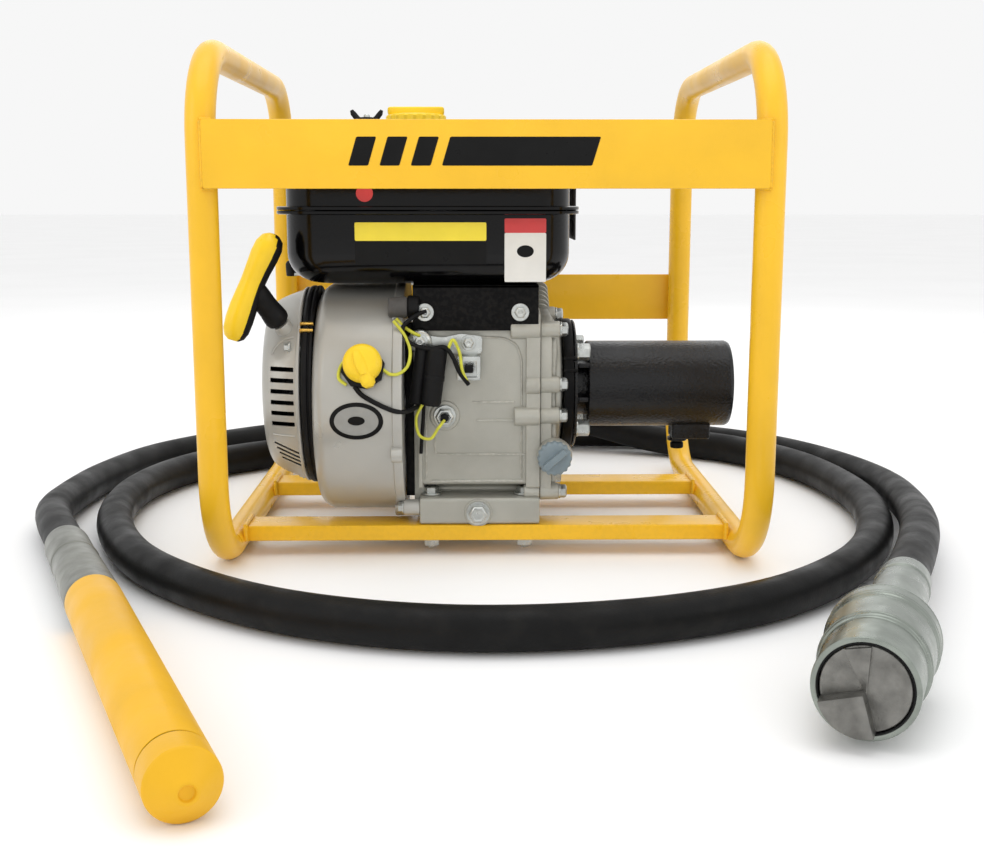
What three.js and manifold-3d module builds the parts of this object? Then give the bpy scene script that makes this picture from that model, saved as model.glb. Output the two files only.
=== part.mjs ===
// Concrete vibrator: petrol engine in a tube frame, with a drive hose and a vibrator head on the ground.
// Millimetres, +X to the drive end, +Y to the back, +Z up. Origin: on the ground, under the frame's centre.
import * as THREE from 'three';
import { mergeVertices } from 'three/addons/utils/BufferGeometryUtils.js';
import Module from 'manifold-3d';

const wasm = await Module();
wasm.setup();

// ---------------------------------------------------------------- driving dimensions
const GAP = 0.3; // between pieces that touch
const FRAME = { halfWidth: 204, halfDepth: 205.5, height: 400, tube: 11, bend: 65 };
const PANEL = { thick: 3, frontLow: 290, frontHigh: 338, rearLow: 157, rearHigh: 204, halfLength: 201 };
const RAIL = { width: 33, low: 12.5, top: 25, wall: 3, halfLength: 192, frontY: -125, rearY: 37 };
const FOOT_BOLTS = { x: [-44.5, 31], radius: 4, washer: 8.5 };
const CRANK = { y: -79, z: 131, throw: 22.5, shaft: 12.5, pto: 9.5, web: 36 };
const CASE = { left: -58, right: 42.7, front: -55, footFront: -61, bottom: -105.7 };
const COVER = { left: 43, right: 56, face: 61.5, hub: 52 };
const TILT = THREE.MathUtils.degToRad(25);
const CYLINDER = { bore: 34, deck: 119.2, halfX: 48, low: -50, high: 38 };
const ROD_LENGTH = 78;
const CAM = { y: 28, z: -46.5, gear: 36, crankGear: 18 };
const SHROUD = { z: -10.5, radius: 93, left: -135.2, right: -65, wall: 2.5, mouth: 66 };
const RING = { left: -145, right: -135.5, outer: 81.5, inner: 68 };
const RECOIL = { left: -177.5, right: -145.3, wall: 2.2 };
const TANK = { x: [-164, 73], y: [-152, 38], bottom: 217, seam: 274, top: 330, lip: 7, wall: 2 };
const CAP = { x: -57.5, y: -40, radius: 25, top: 352 };
const FLANGE = { left: 61.8, right: 70.2, radius: 54 };
const HOUSING = { left: 70.5, right: 201.4, radius: 35.5, bore: 29, plate: 53, lip: 2.5, neck: 27 };
const AIR = { x: -112, y: 130, half: 50, low: 240, split: 262, top: 350 };
const MUFFLER = { x: [-26, 78], y: [76, 176], z: [238, 330] };
const HOSE = { radius: 15, bore: 8, core: 5, steps: 48, sides: 10 };
// hose centre line, from inside the coupling's ferrule to inside the head's ferrule
const HOSE_ROUTE = [
  [228.3, -436.4, 33], [285.7, -303.7, 33], [311, -245, 32], [342, -160, 28.5], [366, -60, 22],
  [377, 50, 16], [357, 140, 15.3], [315, 223, 15.3], [252, 284, 15.3], [170, 318, 15.3],
  [80, 322, 15.3], [-10, 303, 15.3], [-110, 268, 15.3], [-205, 220, 15.3], [-280, 155, 15.3],
  [-318, 65, 15.3], [-321, -40, 15.3], [-290, -150, 15.3], [-235, -244, 15.3], [-140, -328, 15.3],
  [-30, -365, 15.3], [85, -357, 15.3], [185, -314, 15.3], [262, -238, 15.3], [313, -141, 15.3],
  [339, -10, 15.3], [320, 134, 15.3], [266, 228, 15.3], [192, 273, 18], [118, 295, 34],
  [40, 313, 48], [-45, 330, 36], [-130, 338, 18], [-240, 304, 15.3], [-335, 198, 15.3],
  [-370, 85, 15.3], [-375, -15, 16.5], [-370.4, -60.6, 18], [-358.2, -98.7, 19],
  [-326.5, -172.2, 19], [-302.8, -227.3, 19],
];
const COUPLING = { mouth: [192.6, -519, 33], back: [275.4, -327.6, 33] };
const HEAD = { start: [-324.2, -177.7, 19], tip: [-139.2, -607, 19], radius: 19, ferrule: 153, cap: 31 };
const STARTER = {
  centre: [-180, -152, 216.4],
  grip: [24, 17, 62],
  pull: [-0.49, -0.42, 0.766],
  stem: 38.5,
  round: 10.3,
  waist: 8.8,
};
const CARB = { x: -66, y: 61, low: 226, high: 262, boss: 12 };
const LEVER = { x: -74, hub: 7, arm: 1.8, knob: 4, length: 20, chokeTurn: 150, valveTurn: 200 };
const CONTROL = { x: -126, y: 59, low: 208, high: 211, reach: -182 };
const SWITCH = { y: -86.4, z: 24, x: -94.6, bezel: 17, knob: 14 };
const OIL_NECK = { x: 54, y: -61, z: -51, radius: 13.5 };
const LOCK_PIN = { x: 161, low: -55, head: 5.5, shank: 4, hole: 4.5, length: 28 };
const DOG = { radius: 24.4, lug: 24.2, lugFrom: 196, lugTo: 286, lugDepth: 14 };
const ROTOR = { journal: 6, weight: 11.5, lead: 40, pad: 30 };

// ---------------------------------------------------------------- materials
function finish(color, roughness, metalness) {
  return new THREE.MeshStandardMaterial({ color, roughness, metalness });
}
const YELLOW_PAINT = finish(0xf3bd2e, 0.35, 0);
const CAST_GREY = finish(0xa8a399, 0.5, 0.5);
const BLACK_PAINT = finish(0x0c0c0d, 0.25, 0);
const BLACK_PLASTIC = finish(0x17171a, 0.55, 0);
const YELLOW_PLASTIC = finish(0xf5d33b, 0.4, 0);
const ZINC = finish(0xb9bdb8, 0.35, 0.9);
const STEEL = finish(0x77766f, 0.4, 0.9);
const CAP_GREY = finish(0x7c8a90, 0.6, 0);
const HOSE_RUBBER = finish(0x1a1a1a, 0.7, 0);
const FOAM = finish(0x4a4a48, 0.9, 0);

// ---------------------------------------------------------------- solid helpers
const V = (x, y, z) => new THREE.Vector3(x, y, z);

function solid(geometry) {
  const bare = geometry.clone();
  for (const name of Object.keys(bare.attributes)) {
    if (name !== 'position') bare.deleteAttribute(name);
  }
  const merged = mergeVertices(bare, 1e-4);
  const mesh = new wasm.Mesh({
    numProp: 3,
    vertProperties: Float32Array.from(merged.attributes.position.array),
    triVerts: Uint32Array.from(merged.index.array),
  });
  return new wasm.Manifold(mesh);
}

function shell(manifold) {
  const mesh = manifold.getMesh();
  const geometry = new THREE.BufferGeometry();
  geometry.setAttribute('position', new THREE.BufferAttribute(Float32Array.from(mesh.vertProperties), 3));
  geometry.setIndex(new THREE.BufferAttribute(Uint32Array.from(mesh.triVerts), 1));
  return geometry;
}

const join = (...parts) => shell(parts.map(solid).reduce((sum, part) => sum.add(part)));
const cut = (base, ...tools) => {
  const rest = tools.map(solid).reduce((left, tool) => left.subtract(tool), solid(base));
  return shell(rest);
};

// a box between two opposite corners
function block([x0, x1], [y0, y1], [z0, z1]) {
  const box = new THREE.BoxGeometry(x1 - x0, y1 - y0, z1 - z0);
  return box.translate((x0 + x1) / 2, (y0 + y1) / 2, (z0 + z1) / 2);
}

// a round bar from one point to another; a second radius makes a cone
function bar(from, to, radius, sides = 16, endRadius = radius) {
  const start = V(...from);
  const along = V(...to).sub(start);
  const round = new THREE.CylinderGeometry(endRadius, radius, along.length(), sides);
  round.translate(0, along.length() / 2, 0);
  round.applyQuaternion(new THREE.Quaternion().setFromUnitVectors(V(0, 1, 0), along.normalize()));
  return round.translate(start.x, start.y, start.z);
}

// an outline in the Y-Z plane, drawn out along X
function slabX(outline, x0, x1) {
  const drawn = outline instanceof THREE.Shape;
  const shape = drawn ? outline : new THREE.Shape(outline.map(([y, z]) => new THREE.Vector2(y, z)));
  const slab = new THREE.ExtrudeGeometry(shape, { depth: x1 - x0, bevelEnabled: false, curveSegments: 20 });
  slab.applyMatrix4(new THREE.Matrix4().makeBasis(V(0, 1, 0), V(0, 0, 1), V(1, 0, 0)));
  return slab.translate(x0, 0, 0);
}

// a profile of [distance along X, radius] turned about the X axis
function turnX(profile, sides = 32) {
  const points = profile.map(([x, radius]) => new THREE.Vector2(radius, x));
  if (THREE.ShapeUtils.area(points) < 0) points.reverse();
  return new THREE.LatheGeometry(points, sides).rotateZ(-Math.PI / 2);
}

// the same profile turned about a line from one point towards another
function turnAlong(profile, from, to, sides = 48) {
  const start = V(...from);
  const direction = V(...to).sub(start).normalize();
  const turned = turnX(profile, sides);
  turned.applyQuaternion(new THREE.Quaternion().setFromUnitVectors(V(1, 0, 0), direction));
  return turned.translate(start.x, start.y, start.z);
}

// a box with rounded vertical corners and a rounded top or bottom edge
function roundedBox([x0, x1], [y0, y1], [z0, z1], corner, bevel, steps = 2) {
  const [left, right, front, back] = [x0 + bevel, x1 - bevel, y0 + bevel, y1 - bevel];
  const r = Math.max(corner - bevel, 0.5);
  const shape = new THREE.Shape();
  shape.absarc(right - r, front + r, r, -Math.PI / 2, 0);
  shape.absarc(right - r, back - r, r, 0, Math.PI / 2);
  shape.absarc(left + r, back - r, r, Math.PI / 2, Math.PI);
  shape.absarc(left + r, front + r, r, Math.PI, 1.5 * Math.PI);
  const depth = z1 - z0 - 2 * bevel;
  const options = { depth, bevelThickness: bevel, bevelSize: bevel, bevelSegments: steps, curveSegments: 2 };
  return new THREE.ExtrudeGeometry(shape, options).translate(0, 0, z0 + bevel);
}

// ---------------------------------------------------------------- scene graph helpers
const vibrator = new THREE.Group();

function group(parent, x = 0, y = 0, z = 0) {
  const made = new THREE.Group();
  made.position.set(x, y, z);
  parent.add(made);
  return made;
}

function add(parent, name, geometry, material) {
  const mesh = new THREE.Mesh(geometry, material);
  mesh.name = name;
  parent.add(mesh);
  return mesh;
}

// ---------------------------------------------------------------- tube frame
// A closed loop of straight tube and four round bends, in the Y-Z plane.
class HoopPath extends THREE.Curve {
  constructor() {
    super();
    const { halfDepth, height, tube, bend } = FRAME;
    const steps = 4;
    this.knots = [];
    const corners = [[1, 1, 0], [-1, 1, 90], [-1, -1, 180], [1, -1, 270]];
    for (const [sideY, sideZ, start] of corners) {
      const y = sideY * (halfDepth - bend);
      const z = height / 2 + sideZ * (height / 2 - tube - bend);
      for (let i = 0; i <= steps; i += 1) {
        const angle = THREE.MathUtils.degToRad(start + (90 * i) / steps);
        const at = V(0, y + bend * Math.cos(angle), z + bend * Math.sin(angle));
        this.knots.push({ at, tangent: V(0, -Math.sin(angle), Math.cos(angle)) });
      }
    }
  }
  knot(t) { return this.knots[Math.round(t * this.knots.length) % this.knots.length]; }
  getPointAt(t) { return this.knot(t).at.clone(); }
  getTangentAt(t) { return this.knot(t).tangent.clone(); }
}

function makeFrame() {
  const frame = group(vibrator);
  const path = new HoopPath();
  for (const [name, x] of [['frame_hoop_left', -FRAME.halfWidth], ['frame_hoop_right', FRAME.halfWidth]]) {
    const hoop = new THREE.TubeGeometry(path, path.knots.length, FRAME.tube, 10, true);
    add(frame, name, hoop, YELLOW_PAINT).position.x = x;
  }
  const face = FRAME.halfDepth + FRAME.tube + GAP;
  const across = [-PANEL.halfLength, PANEL.halfLength];
  const front = block(across, [-face - PANEL.thick, -face], [PANEL.frontLow, PANEL.frontHigh]);
  const rear = block(across, [face, face + PANEL.thick], [PANEL.rearLow, PANEL.rearHigh]);
  add(frame, 'front_panel', front, YELLOW_PAINT);
  add(frame, 'rear_panel', rear, YELLOW_PAINT);
  for (const [name, y] of [['front_rail', RAIL.frontY], ['rear_rail', RAIL.rearY]]) {
    const half = RAIL.width / 2;
    const outer = block([-RAIL.halfLength, RAIL.halfLength], [y - half, y + half], [RAIL.low, RAIL.top]);
    const hollow = block(
      [-RAIL.halfLength - 1, RAIL.halfLength + 1],
      [y - half + RAIL.wall, y + half - RAIL.wall],
      [RAIL.low - 1, RAIL.top - RAIL.wall],
    );
    const holes = FOOT_BOLTS.x.map((x) => bar([x, y, 0], [x, y, 40], FOOT_BOLTS.radius + GAP, 12));
    add(frame, name, cut(outer, hollow, ...holes), YELLOW_PAINT);
  }
}

// ---------------------------------------------------------------- engine, about the crank axis
const engine = group(vibrator, 0, CRANK.y, CRANK.z);
const cylinderLine = group(engine);
cylinderLine.rotation.x = TILT;

// turns a shape drawn along the cylinder line into the engine's upright axes
const tilted = (geometry) => geometry.rotateX(TILT);

function makeCrankcase() {
  const { left, right, front, footFront, bottom } = CASE;
  const body = slabX([
    [footFront, bottom], [footFront, -86], [front, -80], [front, 62], [-20, 66], [30, 52],
    [76, -10], [76, -84], [100, -90], [131, -90], [131, bottom],
  ], left, right);
  const { halfX, low, high, deck } = CYLINDER;
  const barrel = tilted(block([-halfX, right], [30, deck], [low + 10, high]));
  const fins = [72, 84, 96, 108].map((s) => tilted(block([-56, 56], [s, s + 3], [low, high])));
  const deckPlate = tilted(block([-50, 50], [deck - 6, deck], [low, high]));
  const chamber = slabX([[-47, -88], [-47, 46], [-14, 54], [18, 42], [66, -20], [66, -88]], -50, right + 1);
  const bore = tilted(bar([0, 20, 0], [0, deck + 1, 0], CYLINDER.bore, 20));
  const crankHole = bar([left - 1, 0, 0], [-40, 0, 0], CRANK.shaft + 0.9, 16);
  const camPocket = bar([-54, CAM.y, CAM.z], [-40, CAM.y, CAM.z], 7.6, 12);
  const bolts = [];
  for (const x of FOOT_BOLTS.x) {
    for (const y of [RAIL.frontY, RAIL.rearY]) {
      bolts.push(bar([x, y - CRANK.y, bottom - 1], [x, y - CRANK.y, -60], FOOT_BOLTS.radius + GAP, 12));
    }
  }
  const seatY = [footFront + 4, footFront + 28];
  const seats = FOOT_BOLTS.x.map((x) => block([x - 11, x + 11], seatY, [-84, -56]));
  const cast = join(body, barrel, ...fins, deckPlate);
  add(engine, 'crankcase', cut(cast, ...seats, chamber, bore, crankHole, camPocket, ...bolts), CAST_GREY);
}

function makeSideCover() {
  const outline = [[-55, -88], [-55, 48], [-45, 62], [34, 62], [74, -20], [74, -88]];
  const plate = slabX(outline, COVER.left, COVER.right);
  const hub = bar([COVER.right - 1, 0, 0], [COVER.face, 0, 0], COVER.hub, 20);
  const { x: neckX, y: neckY, z: neckZ, radius: neckRadius } = OIL_NECK;
  const neck = bar([neckX, -55.3, neckZ], [neckX, neckY, neckZ], neckRadius, 14);
  const neckRoot = block([COVER.left, COVER.right], [-57, -50], [-62, -40]);
  const room = [[-46, -80], [-46, 42], [-36, 52], [26, 52], [62, -22], [62, -80]];
  const relief = slabX(room, COVER.left - 1, 51);
  const shaftHole = bar([40, 0, 0], [70, 0, 0], CRANK.shaft + 0.9, 16);
  const neckBore = bar([neckX, -30, -44], [neckX, -70, -55], 8, 12);
  add(engine, 'side_cover', cut(join(plate, hub, neck, neckRoot), relief, shaftHole, neckBore), CAST_GREY);
}

function makeCrankTrain() {
  const { shaft, web, pto } = CRANK;
  const line = turnX([
    [-150, 0], [-150, 7], [-128, 7], [-112, 9], [-70, shaft], [-21, shaft], [-21, web], [-9, web], [-9, 10],
    [-9, 0],
  ], 16);
  const drive = turnX([
    [9, 0], [9, web], [21, web], [21, shaft + 1], [24, shaft + 1], [24, CAM.crankGear - 0.4],
    [34, CAM.crankGear - 0.4], [34, shaft], [78, shaft], [82, pto], [124, pto], [124, 0],
  ], 16);
  const throwY = CRANK.throw * Math.cos(TILT);
  const throwZ = CRANK.throw * Math.sin(TILT);
  const pin = bar([-10, throwY, throwZ], [10, throwY, throwZ], 13, 14);
  add(engine, 'crankshaft', join(line, drive, pin), STEEL);

  const fan = turnX([
    [-108, 9.6], [-108, 24], [-100, 30], [-100, 76], [-94, 76], [-94, 62], [-76, 58], [-70, 20], [-70, 13.1],
    [-92, 11.4], [-108, 9.6],
  ], 16);
  const blades = [];
  for (let i = 0; i < 10; i += 1) {
    blades.push(block([-118, -99], [34, 74], [-1.5, 1.5]).rotateX((i * Math.PI) / 5));
  }
  add(engine, 'flywheel_fan', join(fan, ...blades), CAST_GREY);

  const cam = turnX([
    [-53, 0], [-53, 7], [23.6, 7], [23.6, CAM.gear - 0.4], [33.6, CAM.gear - 0.4], [33.6, 7], [42, 7],
    [42, 0],
  ], 16);
  const lobe = (x, angle) => {
    const tip = [5 * Math.cos(angle), 5 * Math.sin(angle)];
    return bar([x, ...tip], [x + 9, ...tip], 9, 12);
  };
  add(engine, 'camshaft', join(cam, lobe(-16, 0.4), lobe(6, 2.2)), STEEL).position.set(0, CAM.y, CAM.z);

  const hub = turnX([[92, 9.9], [92, 24], [130, 24], [130, 9.9], [92, 9.9]], 20);
  const jaws = [block([126, 144], [8, 22], [-11, 11]), block([126, 144], [-22, -8], [-11, 11])];
  const shaftWay = bar([90, 0, 0], [146, 0, 0], 10, 12);
  add(engine, 'drive_dog', cut(join(hub, ...jaws), shaftWay), STEEL);
}

function makeCylinderParts() {
  const pinAt = CRANK.throw + ROD_LENGTH;
  const { deck, low } = CYLINDER;
  const skirt = turnX([
    [pinAt - 20, 28], [pinAt - 20, 33.5], [deck - 1.2, 33.5], [deck - 1.2, 0], [deck - 6, 0], [deck - 6, 28],
    [pinAt - 20, 28],
  ], 20).rotateZ(Math.PI / 2);
  add(cylinderLine, 'piston', join(skirt, bar([-31, pinAt, 0], [31, pinAt, 0], 8, 12)), CAST_GREY);
  const eye = bar([-9, pinAt, 0], [9, pinAt, 0], 11, 14);
  const shank = block([-4, 4], [46, pinAt - 4], [-6.5, 6.5]);
  const eyeWay = bar([-12, pinAt, 0], [12, pinAt, 0], 8.3, 14);
  add(cylinderLine, 'connecting_rod', cut(join(eye, shank), eyeWay), CAST_GREY);

  const top = 26;
  const headBlock = block([-50, 50], [deck + GAP, deck + 31], [low + 2, top]);
  const slots = [8, 16, 24].map((s) => block([-60, 60], [deck + s, deck + s + 4], [low, low + 14]));
  const sideSlots = [8, 16, 24].flatMap((s) => [[-60, -41], [41, 60]].map(
    (x) => block(x, [deck + s, deck + s + 4], [low, 4]),
  ));
  const plugWay = bar([43, deck + 12, 14], [43, deck + 40, 14], 6.5, 12);
  add(cylinderLine, 'cylinder_head', cut(headBlock, ...slots, ...sideSlots, plugWay), CAST_GREY);
  const cover = roundedBox([-38, 32], [-22, 34], [0, 30], 10, 4, 1);
  cover.rotateX(-Math.PI / 2).translate(0, deck + 31 + GAP, 0);
  add(cylinderLine, 'rocker_cover', cover, BLACK_PAINT);
  const plug = [[0, 0], [0, 6], [20, 6], [20, 9], [27, 9], [27, 4], [40, 4], [40, 0]];
  add(cylinderLine, 'spark_plug', turnAlong(plug, [43, deck + 13, 14], [43, deck + 40, 14], 12), STEEL);
  const boot = turnAlong([[28, 4.4], [28, 9], [52, 10], [56, 8], [56, 0], [41, 0], [41, 4.4], [28, 4.4]],
    [43, deck + 13, 14], [43, deck + 40, 14], 12);
  add(cylinderLine, 'spark_plug_cap', boot, BLACK_PLASTIC);
}

// ---------------------------------------------------------------- cooling side and starter
function shroudOutline(inset) {
  const radius = SHROUD.radius - inset;
  const outline = new THREE.Shape();
  outline.absarc(0, SHROUD.z, radius, Math.PI / 2, THREE.MathUtils.degToRad(310));
  const back = [[100, -45], [118, 10], [105, 60], [75, SHROUD.z + SHROUD.radius]];
  for (const [y, z] of back) outline.lineTo(y - inset, Math.min(z, SHROUD.z + radius));
  return outline;
}

function makeStarterSide() {
  const { left, right, wall, mouth } = SHROUD;
  const casing = slabX(shroudOutline(0), left, right);
  const inside = slabX(shroudOutline(wall), left + wall, right + 1);
  const airWay = bar([left - 1, 0, -4], [left + wall + 1, 0, -4], mouth, 20);
  add(engine, 'fan_shroud', cut(casing, inside, airWay), CAST_GREY);

  const ring = turnX([
    [RING.left, RING.inner], [RING.left, RING.outer], [RING.right, RING.outer], [RING.right, RING.inner],
    [RING.left, RING.inner],
  ], 20);
  add(engine, 'recoil_ring', ring, BLACK_PLASTIC);

  const x = RECOIL.left;
  const w = RECOIL.wall;
  const dome = turnX([
    [RECOIL.right, 79.5], [x + 11, 71.5], [x + 2, 64], [x, 56], [x, 0], [x + 22, 0], [x + 22, 5],
    [x + w, 5], [x + w, 55], [x + 4, 62], [x + 12, 69], [RECOIL.right, 77],
    [RECOIL.right, 79.5],
  ], 20);
  const slots = [18, -18].map((z) => block([x + 6, x + 24], [-90, -40], [z - 2.5, z + 2.5]));
  const pull = V(...STARTER.pull).normalize();
  const seat = V(...STARTER.centre).addScaledVector(pull, -STARTER.stem).sub(V(0, CRANK.y, CRANK.z));
  const onRope = (distance) => seat.clone().addScaledVector(pull, distance).toArray();
  const guide = bar(onRope(-13), onRope(-GAP), 7.5, 12);
  const ropeWay = bar(onRope(-26), onRope(5), 4, 8);
  add(engine, 'recoil_housing', cut(join(cut(dome, ...slots), guide), ropeWay), CAST_GREY);

  const pulley = turnX([
    [x + 4, 5.5], [x + 4, 48], [x + 7, 48], [x + 7, 40], [x + 15, 40], [x + 15, 48], [x + 18, 48],
    [x + 18, 5.5], [x + 4, 5.5],
  ], 20);
  add(engine, 'recoil_pulley', pulley, BLACK_PLASTIC);

  const { stem, round, waist } = STARTER;
  const centre = V(...STARTER.centre);
  const half = V(...STARTER.grip).multiplyScalar(0.5);
  const low = centre.clone().sub(half);
  const high = centre.clone().add(half);
  const knobEnd = (at) => new THREE.SphereGeometry(round, 10, 6).translate(at.x, at.y, at.z);
  const grip = join(
    bar(low.toArray(), centre.toArray(), round, 10, waist),
    bar(centre.toArray(), high.toArray(), waist, 10, round),
    knobEnd(low),
    knobEnd(high),
    bar(centre.toArray(), centre.clone().addScaledVector(pull, -stem).toArray(), waist, 10, 8.5),
  );
  add(vibrator, 'starter_handle', grip, YELLOW_PLASTIC);
}

// ---------------------------------------------------------------- fuel tank
function makeTank() {
  const { x, y, bottom, seam, top, lip, wall } = TANK;
  const inner = ([a, b], by) => [a + by, b - by];
  const lipBox = (z0, z1) => roundedBox(x, y, [z0, z1], 34, 0.6, 1);
  const body = inner(x, lip);
  const bodyY = inner(y, lip);
  const lowerBody = roundedBox(body, bodyY, [bottom, seam + 20], 32, 18, 2);
  const lower = join(lowerBody, lipBox(seam - 3, seam - GAP / 2));
  const aboveSeam = block([-300, 300], [-300, 300], [seam - GAP / 2, 400]);
  const lowerRoom = roundedBox(inner(body, wall), inner(bodyY, wall), [bottom + wall, seam + 30], 30, 14, 1);
  add(vibrator, 'fuel_tank_lower', cut(lower, aboveSeam, lowerRoom), BLACK_PAINT);
  const upper = join(roundedBox(body, bodyY, [seam - 30, top], 32, 22, 2), lipBox(seam + GAP / 2, seam + 3));
  const neck = bar([CAP.x, CAP.y, top - 5], [CAP.x, CAP.y, top + 8], 19, 16);
  const belowSeam = block([-300, 300], [-300, 300], [0, seam + GAP / 2]);
  const upperRoom = roundedBox(inner(body, wall), inner(bodyY, wall), [seam - 40, top - wall], 30, 18, 1);
  const filler = bar([CAP.x, CAP.y, top - 20], [CAP.x, CAP.y, top + 20], 16, 16);
  add(vibrator, 'fuel_tank_upper', cut(join(upper, neck), belowSeam, upperRoom, filler), BLACK_PAINT);
  const capBody = cut(
    bar([CAP.x, CAP.y, top + 1], [CAP.x, CAP.y, CAP.top], CAP.radius, 20),
    bar([CAP.x, CAP.y, top], [CAP.x, CAP.y, top + 9], 19.6, 16),
  );
  const grip = block([CAP.x - 24, CAP.x + 24], [CAP.y - 6, CAP.y + 6], [CAP.top - 1, CAP.top + 6]);
  add(vibrator, 'fuel_cap', join(capBody, grip), YELLOW_PLASTIC);
  const plateX = [-57.5, 41];
  const bracket = join(
    block(plateX, [-138, -135], [181, 216.6]),
    block(plateX, [-138, -25], [213.6, 216.6]),
  );
  add(vibrator, 'tank_bracket', bracket, BLACK_PAINT);
}

// ---------------------------------------------------------------- intake and exhaust
function makeIntakeAndExhaust() {
  const square = (grow, z, corner, bevel) => {
    const r = AIR.half + grow;
    return roundedBox([AIR.x - r, AIR.x + r], [AIR.y - r, AIR.y + r], z, corner, bevel, 1);
  };
  const base = join(
    square(-2, [AIR.low, AIR.split - GAP], 14, 3),
    bar([AIR.x, AIR.y, AIR.split - 2], [AIR.x, AIR.y, AIR.top + 12], 3, 12),
  );
  add(vibrator, 'air_cleaner_base', base, BLACK_PLASTIC);
  const cover = cut(
    square(0, [AIR.split - 14, AIR.top], 18, 12),
    block([-300, 300], [0, 300], [0, AIR.split]),
    square(-2.5, [AIR.split - 18, AIR.top - 2.5], 16, 10),
    bar([AIR.x, AIR.y, AIR.top - 10], [AIR.x, AIR.y, AIR.top + 10], 3.4, 12),
  );
  add(vibrator, 'air_cleaner_cover', cover, BLACK_PLASTIC);
  const element = cut(
    bar([AIR.x, AIR.y, AIR.split + 0.6], [AIR.x, AIR.y, AIR.top - 18], 38, 20),
    bar([AIR.x, AIR.y, AIR.split], [AIR.x, AIR.y, AIR.top], 22, 16),
  );
  add(vibrator, 'air_filter_element', element, FOAM);
  const nut = cut(
    join(
      bar([AIR.x, AIR.y, AIR.top + GAP], [AIR.x, AIR.y, AIR.top + 9], 8, 12),
      block([AIR.x - 17, AIR.x + 17], [AIR.y - 2, AIR.y + 2], [AIR.top + 3, AIR.top + 17]),
    ),
    bar([AIR.x, AIR.y, AIR.top - 1], [AIR.x, AIR.y, AIR.top + 13], 3.4, 12),
  );
  add(vibrator, 'air_cleaner_wing_nut', nut, BLACK_PLASTIC);

  const carb = join(
    roundedBox([-70, -40], [44, 78], [CARB.low, CARB.high], 6, 2, 1),
    bar([CARB.x, CARB.y, CONTROL.low], [CARB.x, CARB.y, CARB.low + 1], CARB.boss, 12),
    block([-80, -52], [79, 96], [228, 239.6]),
    block([-66, -52], [70, 80], [230, 239.6]),
  );
  add(vibrator, 'carburettor', carb, CAST_GREY);
  const lever = (name, z, degrees) => {
    const { x, length } = LEVER;
    const turn = THREE.MathUtils.degToRad(degrees);
    const hub = bar([x + 2, CARB.y, z], [x - 2, CARB.y, z], LEVER.hub, 12);
    const tip = [x, CARB.y + length * Math.cos(turn), z + length * Math.sin(turn)];
    const arm = bar([x, CARB.y, z], tip, LEVER.arm, 8);
    const knob = bar([x - 3, tip[1], tip[2]], [x + 3, tip[1], tip[2]], LEVER.knob, 8);
    add(vibrator, name, join(hub, arm, knob), BLACK_PLASTIC);
  };
  lever('choke_lever', CARB.high - 8, LEVER.chokeTurn);
  lever('fuel_valve_lever', CARB.low + 10, LEVER.valveTurn);

  const plate = cut(
    block([-140, -51], [46, 76], [CONTROL.low, CONTROL.high]),
    bar([CARB.x, CARB.y, 200], [CARB.x, CARB.y, 220], CARB.boss + 0.6, 12),
  );
  add(vibrator, 'control_plate', plate, ZINC);
  const { x: pivot, y: armY, high: armZ, reach } = CONTROL;
  const throttle = join(
    bar([pivot, armY, armZ + 0.4], [pivot, armY, armZ + 6], 9, 12),
    block([reach, pivot + 6], [armY - 4, armY + 4], [armZ + 1.5, armZ + 4.5]),
    bar([reach + 2, armY, armZ + 1], [reach + 2, armY, armZ + 15], 5, 12),
  );
  add(vibrator, 'throttle_lever', throttle, ZINC);

  const bend = [V(20, 52, 224), V(20, 54, 240), V(20, 64, 254), V(20, 84, 258)];
  const pipe = new THREE.ExtrudeGeometry(new THREE.Shape().absarc(0, 0, 10, 0, 2 * Math.PI), {
    steps: 5,
    curveSegments: 5,
    extrudePath: new THREE.CatmullRomCurve3(bend),
  });
  const can = roundedBox(MUFFLER.x, MUFFLER.y, MUFFLER.z, 16, 8, 1);
  const wall = 1.5;
  const shrink = ([a, b]) => [a + wall, b - wall];
  const canRoom = roundedBox(shrink(MUFFLER.x), shrink(MUFFLER.y), shrink(MUFFLER.z), 14, 7, 1);
  const tailPipe = bar([60, 170, 300], [60, 186, 300], 9, 12);
  const tailWay = bar([60, 160, 300], [60, 190, 300], 7, 12);
  add(vibrator, 'muffler', cut(join(can, pipe, tailPipe), canRoom, tailWay), STEEL);
  const guardX = [MUFFLER.x[0] - 4, MUFFLER.x[1] + 9];
  const guard = cut(
    block(guardX, [MUFFLER.y[0] + 6, MUFFLER.y[1] + 10], [MUFFLER.z[0] + 6, MUFFLER.z[1] + 8]),
    block([guardX[0] + 2, guardX[1] - 2], [0, MUFFLER.y[1] + 8], [0, MUFFLER.z[1] + 6]),
    bar([60, 150, 300], [60, 200, 300], 12, 14),
  );
  add(vibrator, 'muffler_guard', guard, BLACK_PAINT);
}

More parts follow.
